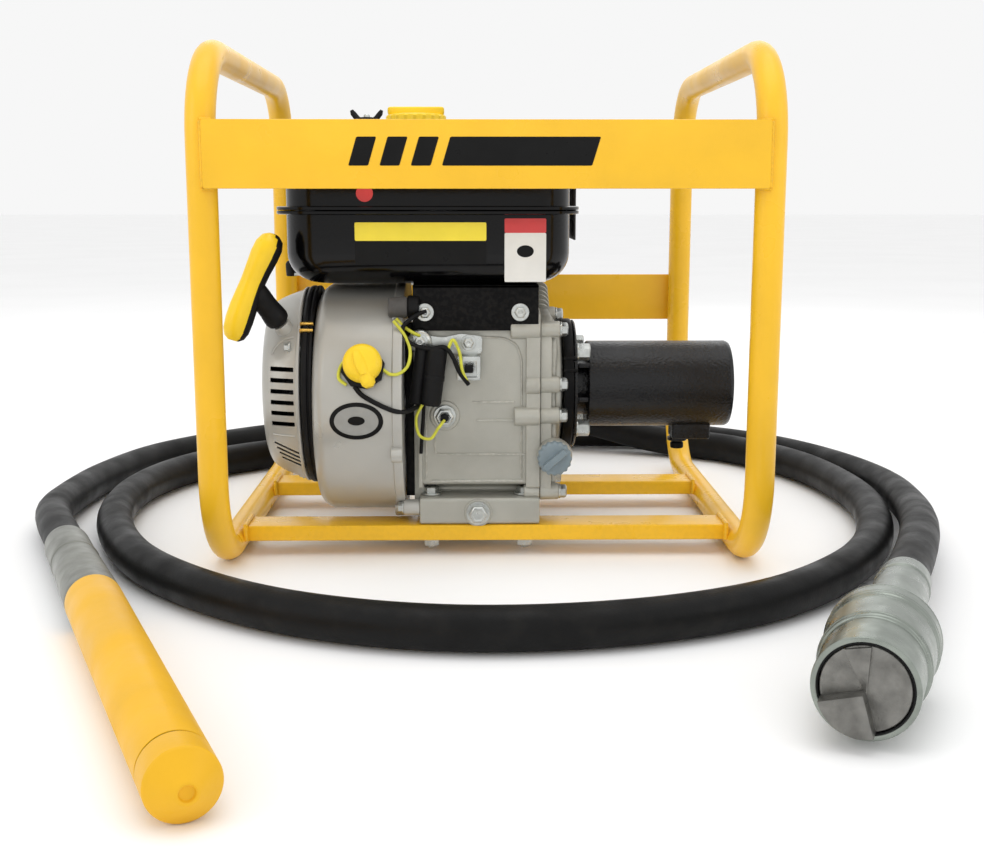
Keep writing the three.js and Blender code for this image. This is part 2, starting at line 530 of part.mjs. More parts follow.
// ---------------------------------------------------------------- small parts on the engine's front
function makeFrontDetails() {
  const nose = (profile, at, direction, sides = 24) => {
    const ahead = at.map((value, i) => value + direction[i]);
    return turnAlong(profile, at, ahead, sides);
  };
  const forward = [0, -1, 0];
  const lean = Math.atan2(SWITCH.z - SHROUD.z, -SWITCH.y);
  const outward = [0, -Math.cos(lean), Math.sin(lean)];
  const switchAt = [SWITCH.x, SWITCH.y, SWITCH.z];
  const { bezel, knob } = SWITCH;
  const rim = nose([[0.4, 0], [0.4, bezel], [5, bezel - 1], [5, 0]], switchAt, outward, 8);
  add(engine, 'switch_body', rim, BLACK_PLASTIC);
  const dial = nose([[5.4, 0], [5.4, knob], [13, knob - 1], [17, 6], [17, 0]], switchAt, outward, 20);
  add(engine, 'switch_knob', dial, YELLOW_PLASTIC);

  add(engine, 'oil_alert_unit', bar([-44, -72, -6], [-38, -72, 38], 9.5, 12), BLACK_PLASTIC);
  const strip = block([-57, -3], [-61.5, -58.9], [29, 47]);
  const terminal = block([-21, -5], [-68, -59], [12, 30]);
  add(engine, 'wiring_bracket', join(strip, terminal), ZINC);

  const sensorProfile = [[GAP, 0], [GAP, 9], [3, 9], [3, 7.5], [9, 7.5], [9, 4], [13, 4], [13, 0]];
  add(engine, 'oil_level_sensor', nose(sensorProfile, [-33, CASE.front, -18], forward, 12), ZINC);

  const capAt = [OIL_NECK.x, OIL_NECK.y - 0.2, OIL_NECK.z];
  const cap = nose([[GAP, 0], [GAP, 13], [7, 12.5], [8, 11], [8, 0]], capAt, forward);
  const gripRound = nose([[7, 0], [7, 11], [14, 9], [14, 0]], capAt, forward);
  const keep = new THREE.BoxGeometry(60, 60, 5).rotateY(-0.7).translate(...capAt);
  const grip = shell(solid(gripRound).intersect(solid(keep)));
  add(engine, 'oil_filler_cap', join(cap, grip), CAP_GREY);

  const drainProfile = [[GAP, 0], [GAP, 9.5], [2.5, 9.5], [2.5, 7.5], [8, 7.5], [8, 0]];
  add(engine, 'oil_drain_bolt', nose(drainProfile, [-6.7, CASE.footFront, -96], forward, 6), ZINC);
}

// ---------------------------------------------------------------- coupling on the drive end
function makeDriveEnd() {
  const { left, right, radius } = FLANGE;
  const flange = turnX([
    [left, 14.5], [left, radius], [right, radius], [right, 14.5], [left, 14.5],
  ], 20);
  add(engine, 'adapter_flange', flange, BLACK_PAINT);
  const { left: root, right: end, radius: tubeRadius, bore, plate, lip, neck } = HOUSING;
  const shoulder = root + 12.5;
  const floor = shoulder + 3.5;
  const tube = turnX([
    [root, 14.5], [root, plate], [root + lip, plate], [root + lip, neck], [shoulder, neck],
    [shoulder, tubeRadius], [end - 3, tubeRadius], [end, tubeRadius - 2], [end, bore], [floor, bore],
    [floor, 14.5], [root, 14.5],
  ], 20);
  const pinBoss = block([155, 187], [-12, 12], [-46, -32.5]);
  const pinWay = bar([LOCK_PIN.x, 0, -50], [LOCK_PIN.x, 0, -20], LOCK_PIN.hole, 12);
  add(engine, 'coupling_housing', cut(join(tube, pinBoss), pinWay), BLACK_PAINT);
  const { head, shank, length } = LOCK_PIN;
  const pinProfile = [[0, 0], [0, head], [9, head], [9, shank], [length, shank], [length, 0]];
  const pin = turnAlong(pinProfile, [LOCK_PIN.x, 0, LOCK_PIN.low], [LOCK_PIN.x, 0, 0], 16);
  add(engine, 'lock_pin', pin, STEEL);
}

// ---------------------------------------------------------------- mounting bolts, each with its nut run up
function makeMountBolts() {
  const names = ['front_left', 'front_right', 'rear_left', 'rear_right'];
  let i = 0;
  for (const y of [RAIL.frontY, RAIL.rearY]) {
    for (const x of FOOT_BOLTS.x) {
      const top = y === RAIL.frontY ? 47 : 41;
      const bolt = turnAlong([
        [0, 0], [0, 4], [2, 4], [2, 6.8], [8.8, 6.8], [8.8, 4], [top - 3 + GAP, 4], [top - 3 + GAP, 8.5],
        [top - 1.5, 8.5], [top - 1.5, 6.5], [top + 3.5, 6.5], [top + 3.5, 0],
      ], [x, y, 3], [x, y, 60], 6);
      add(vibrator, `mount_bolt_${names[i]}`, bolt, ZINC);
      i += 1;
    }
  }
}

// ---------------------------------------------------------------- hose with its coupling and head
function makeHose() {
  const path = new THREE.CatmullRomCurve3(HOSE_ROUTE.map((point) => V(...point)), false, 'centripetal');
  const ring = (radius, sides) => {
    const corners = [];
    for (let i = 0; i < sides; i += 1) {
      const angle = (2 * Math.PI * i) / sides;
      corners.push(new THREE.Vector2(radius * Math.cos(angle), radius * Math.sin(angle)));
    }
    return corners;
  };
  const sleeve = new THREE.Shape(ring(HOSE.radius, HOSE.sides));
  sleeve.holes.push(new THREE.Path(ring(HOSE.bore, 6)));
  const options = { steps: HOSE.steps, extrudePath: path, curveSegments: 1 };
  add(vibrator, 'hose', new THREE.ExtrudeGeometry(sleeve, options), HOSE_RUBBER);
  const core = new THREE.ExtrudeGeometry(new THREE.Shape(ring(HOSE.core, 5)), options);
  add(vibrator, 'flexible_shaft', core, STEEL);
}

function makeHoseCoupling() {
  const { mouth, back } = COUPLING;
  const long = V(...back).sub(V(...mouth)).length();
  const body = turnAlong([
    [0, 25], [0, 28.5], [34, 28.5], [38, 30.5], [70, 31], [73, 32.5], [88, 32.5], [94, 22], [108, 22],
    [110, 19], [long, 17.3], [long, 15.6], [89.5, 15.6], [89.5, 12], [60, 12], [60, 25], [0, 25],
  ], mouth, back, 20);
  add(vibrator, 'coupling_body', body, ZINC);
  const { radius, lug: lugRadius, lugDepth: depth } = DOG;
  const face = turnAlong([[1, 0], [1, radius], [40, radius], [40, 11], [84, 11], [84, 0]], mouth, back, 16);
  const lugShape = new THREE.Shape();
  lugShape.moveTo(0, 0);
  const [from, to] = [THREE.MathUtils.degToRad(DOG.lugFrom), THREE.MathUtils.degToRad(DOG.lugTo)];
  lugShape.absarc(0, 0, lugRadius, from, to);
  lugShape.lineTo(0, 0);
  const lug = new THREE.ExtrudeGeometry(lugShape, { depth, bevelEnabled: false, curveSegments: 10 });
  const outward = V(...mouth).sub(V(...back)).normalize();
  const right = V(0, 0, 1).cross(outward).normalize();
  lug.translate(0, 0, -4);
  lug.applyMatrix4(new THREE.Matrix4().makeBasis(right, outward.clone().cross(right), outward));
  lug.translate(...mouth);
  add(vibrator, 'coupling_dog', join(face, lug), STEEL);
}

function makeHead() {
  const { start, tip, radius, ferrule, cap } = HEAD;
  const long = V(...tip).sub(V(...start)).length();
  const sleeve = turnAlong([
    [0, 15.9], [0, 16.8], [54, 17.2], [ferrule, 18.9], [ferrule, 14], [ferrule - 70, 14],
    [ferrule - 70, 8], [56, 8], [56, 15.9], [0, 15.9],
  ], start, tip, 24);
  add(vibrator, 'head_ferrule', sleeve, ZINC);
  const tube = turnAlong([
    [ferrule + GAP, 14], [ferrule + GAP, 18.6], [ferrule + 2, radius], [long - cap, radius],
    [long - cap, 14], [ferrule + GAP, 14],
  ], start, tip, 24);
  add(vibrator, 'head_tube', tube, YELLOW_PAINT);
  const nose = turnAlong([
    [long - cap + 0.6, 0], [long - cap + 0.6, radius - 0.4], [long - cap + 2, radius], [long - 14, radius],
    [long - 8, 17], [long - 1, 5], [long - 1, 4], [long - 4, 2], [long - 4, 0],
  ], start, tip, 24);
  const axis = V(...tip).sub(V(...start)).normalize();
  const side = V(axis.y, -axis.x, 0);
  const flat = (way) => {
    const tool = new THREE.BoxGeometry(9, 6, 60);
    tool.applyMatrix4(new THREE.Matrix4().makeBasis(axis, side, V(0, 0, 1)));
    const at = V(...start).addScaledVector(axis, long - 22).addScaledVector(side, way * (radius + 0.6));
    return tool.translate(at.x, at.y, at.z);
  };
  add(vibrator, 'head_tip', cut(nose, flat(1), flat(-1)), YELLOW_PAINT);
  const { journal, weight, lead, pad } = ROTOR;
  const from = ferrule - lead;
  const end = long - cap - 4;
  const shaft = turnAlong([[from, 0], [from, journal], [end, journal], [end, 0]], start, tip, 12);
  const halfDisc = new THREE.Shape();
  halfDisc.absarc(0, 0, weight, Math.PI, 2 * Math.PI);
  const lobe = new THREE.ExtrudeGeometry(halfDisc, {
    depth: end - from - 2 * pad,
    bevelEnabled: false,
    curveSegments: 10,
  });
  lobe.applyMatrix4(new THREE.Matrix4().makeBasis(side.clone().negate(), V(0, 0, 1), axis));
  const lobeAt = V(...start).addScaledVector(axis, from + pad);
  lobe.translate(lobeAt.x, lobeAt.y, lobeAt.z);
  add(vibrator, 'eccentric_rotor', join(shaft, lobe), STEEL);
}

makeFrame();
makeCrankcase();
makeSideCover();
makeCrankTrain();
makeCylinderParts();
makeStarterSide();
makeTank();
makeIntakeAndExhaust();
makeFrontDetails();
makeDriveEnd();
makeMountBolts();
makeHose();
makeHoseCoupling();
makeHead();

export default vibrator;
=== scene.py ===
"""Concrete vibrator: petrol engine in a yellow tube frame, drive hose and poker head on the ground."""
from math import cos, pi, radians, sin, sqrt

import bmesh
import bpy
from mathutils import Matrix, Vector


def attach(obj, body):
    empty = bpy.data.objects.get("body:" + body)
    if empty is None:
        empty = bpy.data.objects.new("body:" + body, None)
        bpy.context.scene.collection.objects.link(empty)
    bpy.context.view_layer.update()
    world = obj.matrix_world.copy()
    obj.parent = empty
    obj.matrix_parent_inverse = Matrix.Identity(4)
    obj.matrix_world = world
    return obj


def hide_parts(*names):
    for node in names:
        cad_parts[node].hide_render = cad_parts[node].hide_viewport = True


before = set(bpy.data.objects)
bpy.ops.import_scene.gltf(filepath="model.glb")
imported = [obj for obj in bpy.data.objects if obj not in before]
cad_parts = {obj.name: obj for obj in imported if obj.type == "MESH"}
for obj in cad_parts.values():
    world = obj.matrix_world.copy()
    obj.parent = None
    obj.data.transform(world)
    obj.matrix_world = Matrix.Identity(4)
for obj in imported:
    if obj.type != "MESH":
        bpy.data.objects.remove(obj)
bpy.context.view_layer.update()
MM = 0.001


def add(name, data):
    made = bpy.data.objects.new(name, data)
    bpy.context.scene.collection.objects.link(made)
    return made


# ---- camera and light
def make_camera():
    data = bpy.data.cameras.new("camera")
    data.lens, data.sensor_width = 47.82, 36
    data.clip_start, data.clip_end = 0.05, 20
    cam = add("camera", data)
    cam.location = (-0.01013, -1.15966, 0.28499)
    cam.rotation_euler = (radians(90 - 10.111), 0, radians(-0.8168))
    bpy.context.scene.camera = cam


def make_lights():
    def area(name, at, aim, size, watts, tint=(1, 1, 1)):
        data = bpy.data.lights.new(name, "AREA")
        data.shape, data.size, data.size_y = "RECTANGLE", size[0], size[1]
        data.energy, data.color = watts, tint
        lamp = add(name, data)
        lamp.location = at
        way = Vector(aim) - Vector(at)
        lamp.rotation_euler = way.to_track_quat("-Z", "Y").to_euler()

    area("light_top", (0.1, -0.3, 2.2), (0, -0.05, 0.1), (2.2, 1.6), 14)
    area("light_left", (-1.9, -1.3, 1.2), (-0.1, -0.1, 0.15), (1.0, 1.4), 7)
    area("light_right", (1.9, -1.1, 1.0), (0.1, -0.1, 0.15), (1.0, 1.4), 4)
    area("light_front", (0.1, -2.3, 0.9), (0, -0.2, 0.1), (1.6, 0.8), 1.5)
    area("light_back", (0.2, 1.9, 1.3), (0, 0.1, 0.2), (2.0, 1.0), 4)
    world = bpy.data.worlds.new("studio")
    world.use_nodes = True
    sky = world.node_tree.nodes["Background"]
    sky.inputs["Color"].default_value = (1, 1, 1, 1)
    sky.inputs["Strength"].default_value = 0.93
    bpy.context.scene.world = world
    bpy.context.scene.view_settings.view_transform = "Standard"


# ---- materials
def linear(r, g, b):
    return tuple(((c / 255 + 0.055) / 1.055) ** 2.4 if c > 10 else c / 255 / 12.92 for c in (r, g, b))


def finish(name, rgb, rough, mottle, relief, metal=0.0, wear=None, edge=0.0, dust=0.0, coat=0.0,
        bands=None, sheen=0.5):
    """Mottled colour, uneven roughness and a fine bump. wear is the colour of rubbed edges.

    mottle is (strength, size in mm), relief is (bump strength, grain in mm), bands is (direction, width
    in mm).
    """
    (vary, size), (bump, grain) = mottle, relief
    mat = bpy.data.materials.new(name)
    mat.use_nodes = True
    nodes, links = mat.node_tree.nodes, mat.node_tree.links
    shader = nodes["Principled BSDF"]
    shader.inputs["Metallic"].default_value = metal
    shader.inputs["Specular IOR Level"].default_value = sheen
    shader.inputs["Coat Weight"].default_value = coat
    shader.inputs["Coat Roughness"].default_value = 0.12
    place = nodes.new("ShaderNodeTexCoord")

    def noise(scale, detail, source=None):
        node = nodes.new("ShaderNodeTexNoise")
        node.inputs["Scale"].default_value = scale
        node.inputs["Detail"].default_value = detail
        links.new(source or place.outputs["Object"], node.inputs["Vector"])
        return node.outputs["Fac"]

    def spread(source, low, high, a, b):
        node = nodes.new("ShaderNodeMapRange")
        for socket, value in zip(("From Min", "From Max", "To Min", "To Max"), (low, high, a, b)):
            node.inputs[socket].default_value = value
        links.new(source, node.inputs["Value"])
        return node.outputs["Result"]

    def mix(amount, a, b):
        node = nodes.new("ShaderNodeMix")
        node.data_type = "RGBA"
        links.new(amount, node.inputs["Factor"])
        for value, socket in ((a, node.inputs["A"]), (b, node.inputs["B"])):
            if isinstance(value, tuple):
                socket.default_value = (*value, 1)
            else:
                links.new(value, socket)
        return node.outputs["Result"]

    base = linear(*rgb)
    dark = tuple(c * (1 - vary) for c in base)
    light = tuple(min(1, c * (1 + vary)) for c in base)
    blotch = noise(1000 / size, 5)
    colour = mix(spread(blotch, 0.35, 0.65, 0, 1), dark, light)
    if bands:
        along, width = bands
        dot = nodes.new("ShaderNodeVectorMath")
        dot.operation = "DOT_PRODUCT"
        dot.inputs[1].default_value = along
        links.new(place.outputs["Object"], dot.inputs[0])
        line = nodes.new("ShaderNodeTexNoise")
        line.noise_dimensions = "1D"
        line.inputs["Scale"].default_value = 1000 / width
        line.inputs["Detail"].default_value = 3
        links.new(dot.outputs["Value"], line.inputs["W"])
        colour = mix(spread(line.outputs["Fac"], 0.4, 0.6, 0, 0.35), colour, dark)
    if dust:
        colour = mix(spread(noise(1000 / (size * 0.45), 7), 0.52, 0.75, 0, dust), colour,
            linear(150, 140, 125))
    if wear:
        geometry = nodes.new("ShaderNodeNewGeometry")
        ridge = spread(geometry.outputs["Pointiness"], 0.53, 0.6, 0, edge)
        speck = spread(noise(260, 6), 0.45, 0.6, 0, 1)
        both = nodes.new("ShaderNodeMath")
        both.operation = "MULTIPLY"
        links.new(ridge, both.inputs[0])
        links.new(speck, both.inputs[1])
        colour = mix(both.outputs["Value"], colour, linear(*wear))
    links.new(colour, shader.inputs["Base Color"])
    uneven = noise(1000 / (size * 0.6), 4)
    links.new(spread(uneven, 0.3, 0.7, max(0.03, rough * 0.75), min(1, rough * 1.3)),
        shader.inputs["Roughness"])
    surface = nodes.new("ShaderNodeBump")
    surface.inputs["Strength"].default_value = bump
    surface.inputs["Distance"].default_value = grain * MM
    links.new(line.outputs["Fac"] if bands else noise(1000 / grain, 3), surface.inputs["Height"])
    links.new(surface.outputs["Normal"], shader.inputs["Normal"])
    return mat


HEAD_WAY = (0.39576, -0.91835, 0)
PLUG_WAY = (0.39693, 0.91785, 0)
YELLOW = finish("yellow enamel", (241, 188, 40), 0.32, (0.05, 60), (0.06, 2.2), wear=(160, 120, 50),
    edge=0.3, coat=0.1, sheen=0.3)
HEAD_YELLOW = finish("head enamel", (229, 175, 34), 0.42, (0.05, 60), (0.06, 2.2), sheen=0.22)
CASTING = finish("satin casting", (172, 171, 162), 0.42, (0.06, 30), (0.12, 0.9), metal=0.35,
    wear=(205, 203, 196), edge=0.35, dust=0.08)
SHEET = finish("satin sheet paint", (177, 176, 170), 0.36, (0.035, 50), (0.05, 1.2), metal=0.25,
    wear=(205, 200, 190), edge=0.2, coat=0.15)
BARE = finish("bare casting", (150, 148, 142), 0.45, (0.12, 18), (0.25, 0.8), metal=0.8)
GLOSS = finish("gloss black", (6, 6, 7), 0.14, (0.1, 60), (0.02, 3), coat=0.06, sheen=0.2)
SATIN_BLACK = finish("satin black", (8, 8, 9), 0.4, (0.15, 30), (0.08, 1), wear=(52, 50, 47), edge=0.35,
    dust=0.01, sheen=0.1)
PEEL = finish("orange peel black", (14, 14, 16), 0.24, (0.12, 25), (0.3, 2.2), sheen=0.32)
PLASTIC = finish("black plastic", (17, 17, 18), 0.5, (0.12, 20), (0.12, 0.7), sheen=0.18)
RUBBER = finish("hose rubber", (14, 14, 14), 0.45, (0.18, 45), (0.15, 1.4), dust=0.02, sheen=0.16)
YELLOW_PLASTIC = finish("yellow plastic", (246, 208, 40), 0.36, (0.04, 20), (0.05, 0.8), sheen=0.35)
ZINC = finish("zinc plate", (190, 193, 190), 0.3, (0.12, 9), (0.1, 0.9), metal=0.9)
TURNED = finish("turned zinc", (140, 146, 139), 0.3, (0.14, 16), (0.12, 0.5), metal=0.9,
    bands=(PLUG_WAY, 0.8))
CRIMPED = finish("crimped zinc", (133, 134, 127), 0.38, (0.2, 22), (0.15, 0.5), metal=0.85,
    bands=(HEAD_WAY, 0.9))
DULL = finish("dull steel", (118, 117, 113), 0.36, (0.22, 10), (0.25, 0.9), metal=0.85)
EXHAUST = finish("exhaust steel", (96, 88, 80), 0.5, (0.25, 20), (0.2, 1.1), metal=0.8)
CAP_GREY = finish("blue-grey plastic", (124, 138, 145), 0.5, (0.06, 12), (0.15, 0.6))
GREY_RUBBER = finish("grey rubber", (78, 76, 74), 0.7, (0.1, 8), (0.2, 0.7))
FOAM = finish("filter paper", (92, 92, 88), 0.9, (0.15, 6), (0.5, 1.2))
BRASS = finish("brass", (205, 165, 80), 0.3, (0.12, 5), (0.1, 0.5), metal=0.9)
LABEL_YELLOW = finish("yellow label", (246, 226, 60), 0.4, (0.03, 15), (0.03, 1))
LABEL_WHITE = finish("white label", (226, 226, 222), 0.4, (0.03, 15), (0.03, 1))
LABEL_RED = finish("red label", (205, 60, 62), 0.4, (0.04, 15), (0.03, 1))
LABEL_BLACK = finish("black label", (15, 15, 15), 0.35, (0.15, 15), (0.03, 1), sheen=0.15)
BADGE = finish("badge grey", (150, 150, 146), 0.4, (0.05, 9), (0.05, 0.7))
WIRE_GREEN = finish("yellow-green wire", (206, 205, 62), 0.4, (0.12, 7), (0.05, 0.8))
FLOOR = finish("studio floor", (250, 250, 250), 0.75, (0.012, 400), (0.02, 3))


# ---- shapes, in millimetres
RIGHT, BACK, UP = (1, 0, 0), (0, 1, 0), (0, 0, 1)
LEFT, FRONT, DOWN = (-1, 0, 0), (0, -1, 0), (0, 0, -1)


def soften(points, by, closed=False, steps=3):
    """Rounds the corners of a 2-D or 3-D polyline."""
    points = [Vector(p) for p in points]
    count = len(points)
    out = []
    for i, p in enumerate(points):
        if not closed and i in (0, count - 1):
            out.append(p)
            continue
        before, after = points[i - 1], points[(i + 1) % count]
        reach = min(by, 0.48 * (before - p).length, 0.48 * (after - p).length)
        if reach < 0.02:
            out.append(p)
            continue
        a = p + (before - p).normalized() * reach
        b = p + (after - p).normalized() * reach
        for k in range(steps + 1):
            t = k / steps
            out.append((1 - t) ** 2 * a + 2 * t * (1 - t) * p + t * t * b)
    return out


def catmull(points, per=8):
    """A centripetal Catmull-Rom curve through the points."""
    points = [Vector(p) for p in points]
    ends = [2 * points[0] - points[1], *points, 2 * points[-1] - points[-2]]
    out = []
    for p0, p1, p2, p3 in zip(ends, ends[1:], ends[2:], ends[3:]):
        t0, t1, t2 = [max(1e-4, (b - a).length ** 0.5) for a, b in ((p0, p1), (p1, p2), (p2, p3))]
        m1 = ((p1 - p0) / t0 - (p2 - p0) / (t0 + t1) + (p2 - p1) / t1) * t1
        m2 = ((p2 - p1) / t1 - (p3 - p1) / (t1 + t2) + (p3 - p2) / t2) * t1
        for k in range(per):
            t = k / per
            out.append(p1 * (2 * t ** 3 - 3 * t * t + 1) + m1 * (t ** 3 - 2 * t * t + t)
                + p2 * (3 * t * t - 2 * t ** 3) + m2 * (t ** 3 - t * t))
    return [*out, points[-1]]


def skin(rings, caps=True, loop=False):
    """Joins rings of points into a body."""
    bm = bmesh.new()
    made = [[bm.verts.new(p) for p in ring] for ring in rings]
    pairs = list(zip(made, made[1:])) + ([(made[-1], made[0])] if loop else [])
    for a, b in pairs:
        n = max(len(a), len(b))
        for i in range(n):
            corners = [a[i % len(a)], a[(i + 1) % len(a)], b[(i + 1) % len(b)], b[i % len(b)]]
            face = [v for k, v in enumerate(corners) if v not in corners[:k]]
            if len(face) > 2:
                bm.faces.new(face)
    if caps and not loop:
        for ring in (made[0], made[-1]):
            if len(ring) > 2:
                bm.faces.new(ring)
    bmesh.ops.recalc_face_normals(bm, faces=bm.faces)
    return bm


def lathe(profile, at, way, n=48, by=0.7, turn=0.0):
    """A profile of (distance, radius) turned about the line from a point along a direction.

    A profile that starts and ends off the line closes on itself and leaves a hole.
    """
    closed = profile[0][1] > 0 and profile[-1][1] > 0
    spin = Vector(UP).rotation_difference(Vector(way).normalized())
    rings = []
    for s, r in soften(profile, by, closed):
        if r < 0.01:
            rings.append([Vector(at) + spin @ Vector((0, 0, s))])
            continue
        angles = [turn + 2 * pi * i / n for i in range(n)]
        rings.append([Vector(at) + spin @ Vector((r * cos(a), r * sin(a), s)) for a in angles])
    return skin(rings, loop=closed, caps=not closed)


def rod(radius, long, at, way, n=48, by=0.7):
    """A round bar that starts at a point and runs along a direction."""
    return lathe([(0, 0), (0, radius), (long, radius), (long, 0)], at, way, n, by)


def onto(plane, u, v, h):
    return Vector({"YZ": (h, u, v), "XZ": (u, h, v), "XY": (u, v, h)}[plane])


def prism(outline, low, high, plane="XY", corner=0.0, edge=0.8, steps=2):
    """An outline drawn out along its plane's normal, with its edges rounded."""
    flat = soften(outline, corner, True, 5) if corner else [Vector(p) for p in outline]
    bm = skin([[onto(plane, p.x, p.y, h) for p in flat] for h in (low, high)])
    if edge:
        sharp = [e for e in bm.edges if len(e.link_faces) == 2 and e.calc_face_angle() > 0.6]
        bmesh.ops.bevel(bm, geom=sharp, offset=edge, segments=steps, profile=0.6, affect="EDGES",
            clamp_overlap=True)
    return bm


def sheet(x, z, y, corner, edge):
    """An upright rectangle with rounded corners, facing forwards."""
    return prism([(x[0], z[0]), (x[1], z[0]), (x[1], z[1]), (x[0], z[1])], *y, "XZ", corner, edge)


def box(x, y, z, edge=0.8, steps=2):
    return prism([(x[0], y[0]), (x[1], y[0]), (x[1], y[1]), (x[0], y[1])], z[0], z[1],
        edge=edge, steps=steps)


def ring_of(x, y, z, corner, steps=8):
    """A rounded rectangle at one height."""
    out = []
    for cx, cy, start in ((x[1] - corner, y[1] - corner, 0), (x[0] + corner, y[1] - corner, 90),
            (x[0] + corner, y[0] + corner, 180), (x[1] - corner, y[0] + corner, 270)):
        for k in range(steps + 1):
            a = radians(start + 90 * k / steps)
            out.append(Vector((cx + corner * cos(a), cy + corner * sin(a), z)))
    return out


def loft(x, y, levels):
    """A stack of rounded rectangles: each level is (height, inset, corner radius)."""
    return skin([ring_of((x[0] + i, x[1] - i), (y[0] + i, y[1] - i), z, c) for z, i, c in levels])


def shoulder(height, inset, radius, corner, step):
    """Levels of a rounded top edge: corner is (corner radius, how much it shrinks)."""
    turns = [radians(a) for a in range(0, 91, step)]
    return [(height + radius * sin(a), inset + radius * (1 - cos(a)),
        corner[0] - corner[1] * sin(a)) for a in turns]


def sweep(points, radius, n=12, loop=False, flat=1.0):
    """A round or oval bar along a path."""
    points = [Vector(p) for p in points]
    count = len(points)
    tangents = []
    for i in range(count):
        a = points[i - 1] if loop or i else points[0]
        b = points[(i + 1) % count] if loop or i < count - 1 else points[-1]
        tangents.append((b - a).normalized())
    side = tangents[0].orthogonal().normalized()
    rings = []
    for i, (p, t) in enumerate(zip(points, tangents)):
        side = (side - t * side.dot(t)).normalized()
        other = t.cross(side)
        r = radius[i] if isinstance(radius, (list, tuple)) else radius
        rings.append([p + side * r * cos(2 * pi * k / n) + other * r * flat * sin(2 * pi * k / n)
            for k in range(n)])
    return skin(rings, loop=loop)


def hexagon(at, way, across, height, washer=0.0):
    """A chamfered bolt head or nut, on a washer if it has one."""
    r = across / 2 / cos(pi / 6)
    base = 1.6 if washer else 0.0
    parts = [lathe([(base, 0), (base, r), (base + height - 1, r), (base + height, r - 1.3),
        (base + height, r - 2.6), (base + height - 0.5, r - 3.2), (base + height - 0.5, 0)],
        at, way, 6, 0.1)]
    if washer:
        parts.append(rod(washer, base, at, way, 28, 0.4))
    return parts


def moved(part, matrix):
    bmesh.ops.transform(part, matrix=matrix, verts=part.verts)
    return part


def around(at, degrees, axis):
    """A place, turned about one axis."""
    return Matrix.Translation(at) @ Matrix.Rotation(radians(degrees), 4, axis)


def bolts_at(places, way, *sizes):
    return [part for at in places for part in hexagon(at, way, *sizes)]


def knurled(plane, u, v, levels, waves, n):
    """A knob with a wavy rim: each level is (height, radius, depth of the wave)."""
    def ring(h, r, wave):
        angles = [2 * pi * k / n for k in range(n)]
        return [onto(plane, u + (r + wave * cos(waves * a)) * cos(a),
            v + (r + wave * cos(waves * a)) * sin(a), h) for a in angles]
    return skin([ring(*level) for level in levels])


def carve(base, tools):
    """base less the tools."""
    def temporary(bm):
        mesh = bpy.data.meshes.new("temporary")
        bm.to_mesh(mesh)
        bm.free()
        return add("temporary", mesh)

    whole = bmesh.new()
    for one in tools:
        absorb(whole, one)
    body, tool = temporary(base), temporary(whole)
    cut = body.modifiers.new("cut", "BOOLEAN")
    cut.operation, cut.object, cut.solver, cut.use_self = "DIFFERENCE", tool, "EXACT", True
    done = bpy.data.meshes.new_from_object(body.evaluated_get(bpy.context.evaluated_depsgraph_get()))
    out = bmesh.new()
    out.from_mesh(done)
    for made in (body, tool):
        bpy.data.objects.remove(made)
    bpy.data.meshes.remove(done)
    return out


def absorb(whole, part):
    """Moves one body's faces into another."""
    mesh = bpy.data.meshes.new("temporary")
    part.to_mesh(mesh)
    whole.from_mesh(mesh)
    bpy.data.meshes.remove(mesh)
    part.free()


def piece(name, groups, node=None, body="machine", angle=34, turn=None):
    """One visible piece: groups is {material: [bodies]}; it stands for a CAD node and rides on a body.
    """
    mesh = bpy.data.meshes.new(name)
    whole = bmesh.new()
    for index, (material, parts) in enumerate(groups.items()):
        mesh.materials.append(material)
        for part in parts:
            start = len(whole.faces)
            absorb(whole, part)
            whole.faces.ensure_lookup_table()
            for face in whole.faces[start:]:
                face.material_index = index
    if turn:
        bmesh.ops.transform(whole, matrix=turn, verts=whole.verts)
    bmesh.ops.scale(whole, vec=(MM, MM, MM), verts=whole.verts)
    bmesh.ops.triangulate(whole, faces=[f for f in whole.faces if len(f.verts) > 4])
    whole.to_mesh(mesh)
    whole.free()
    mesh.shade_smooth()
    mesh.set_sharp_from_angle(angle=radians(angle))
    made = add(name, mesh)
    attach(made, body)
    if node:
        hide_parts(node)
    first = next(iter(groups))
    return made


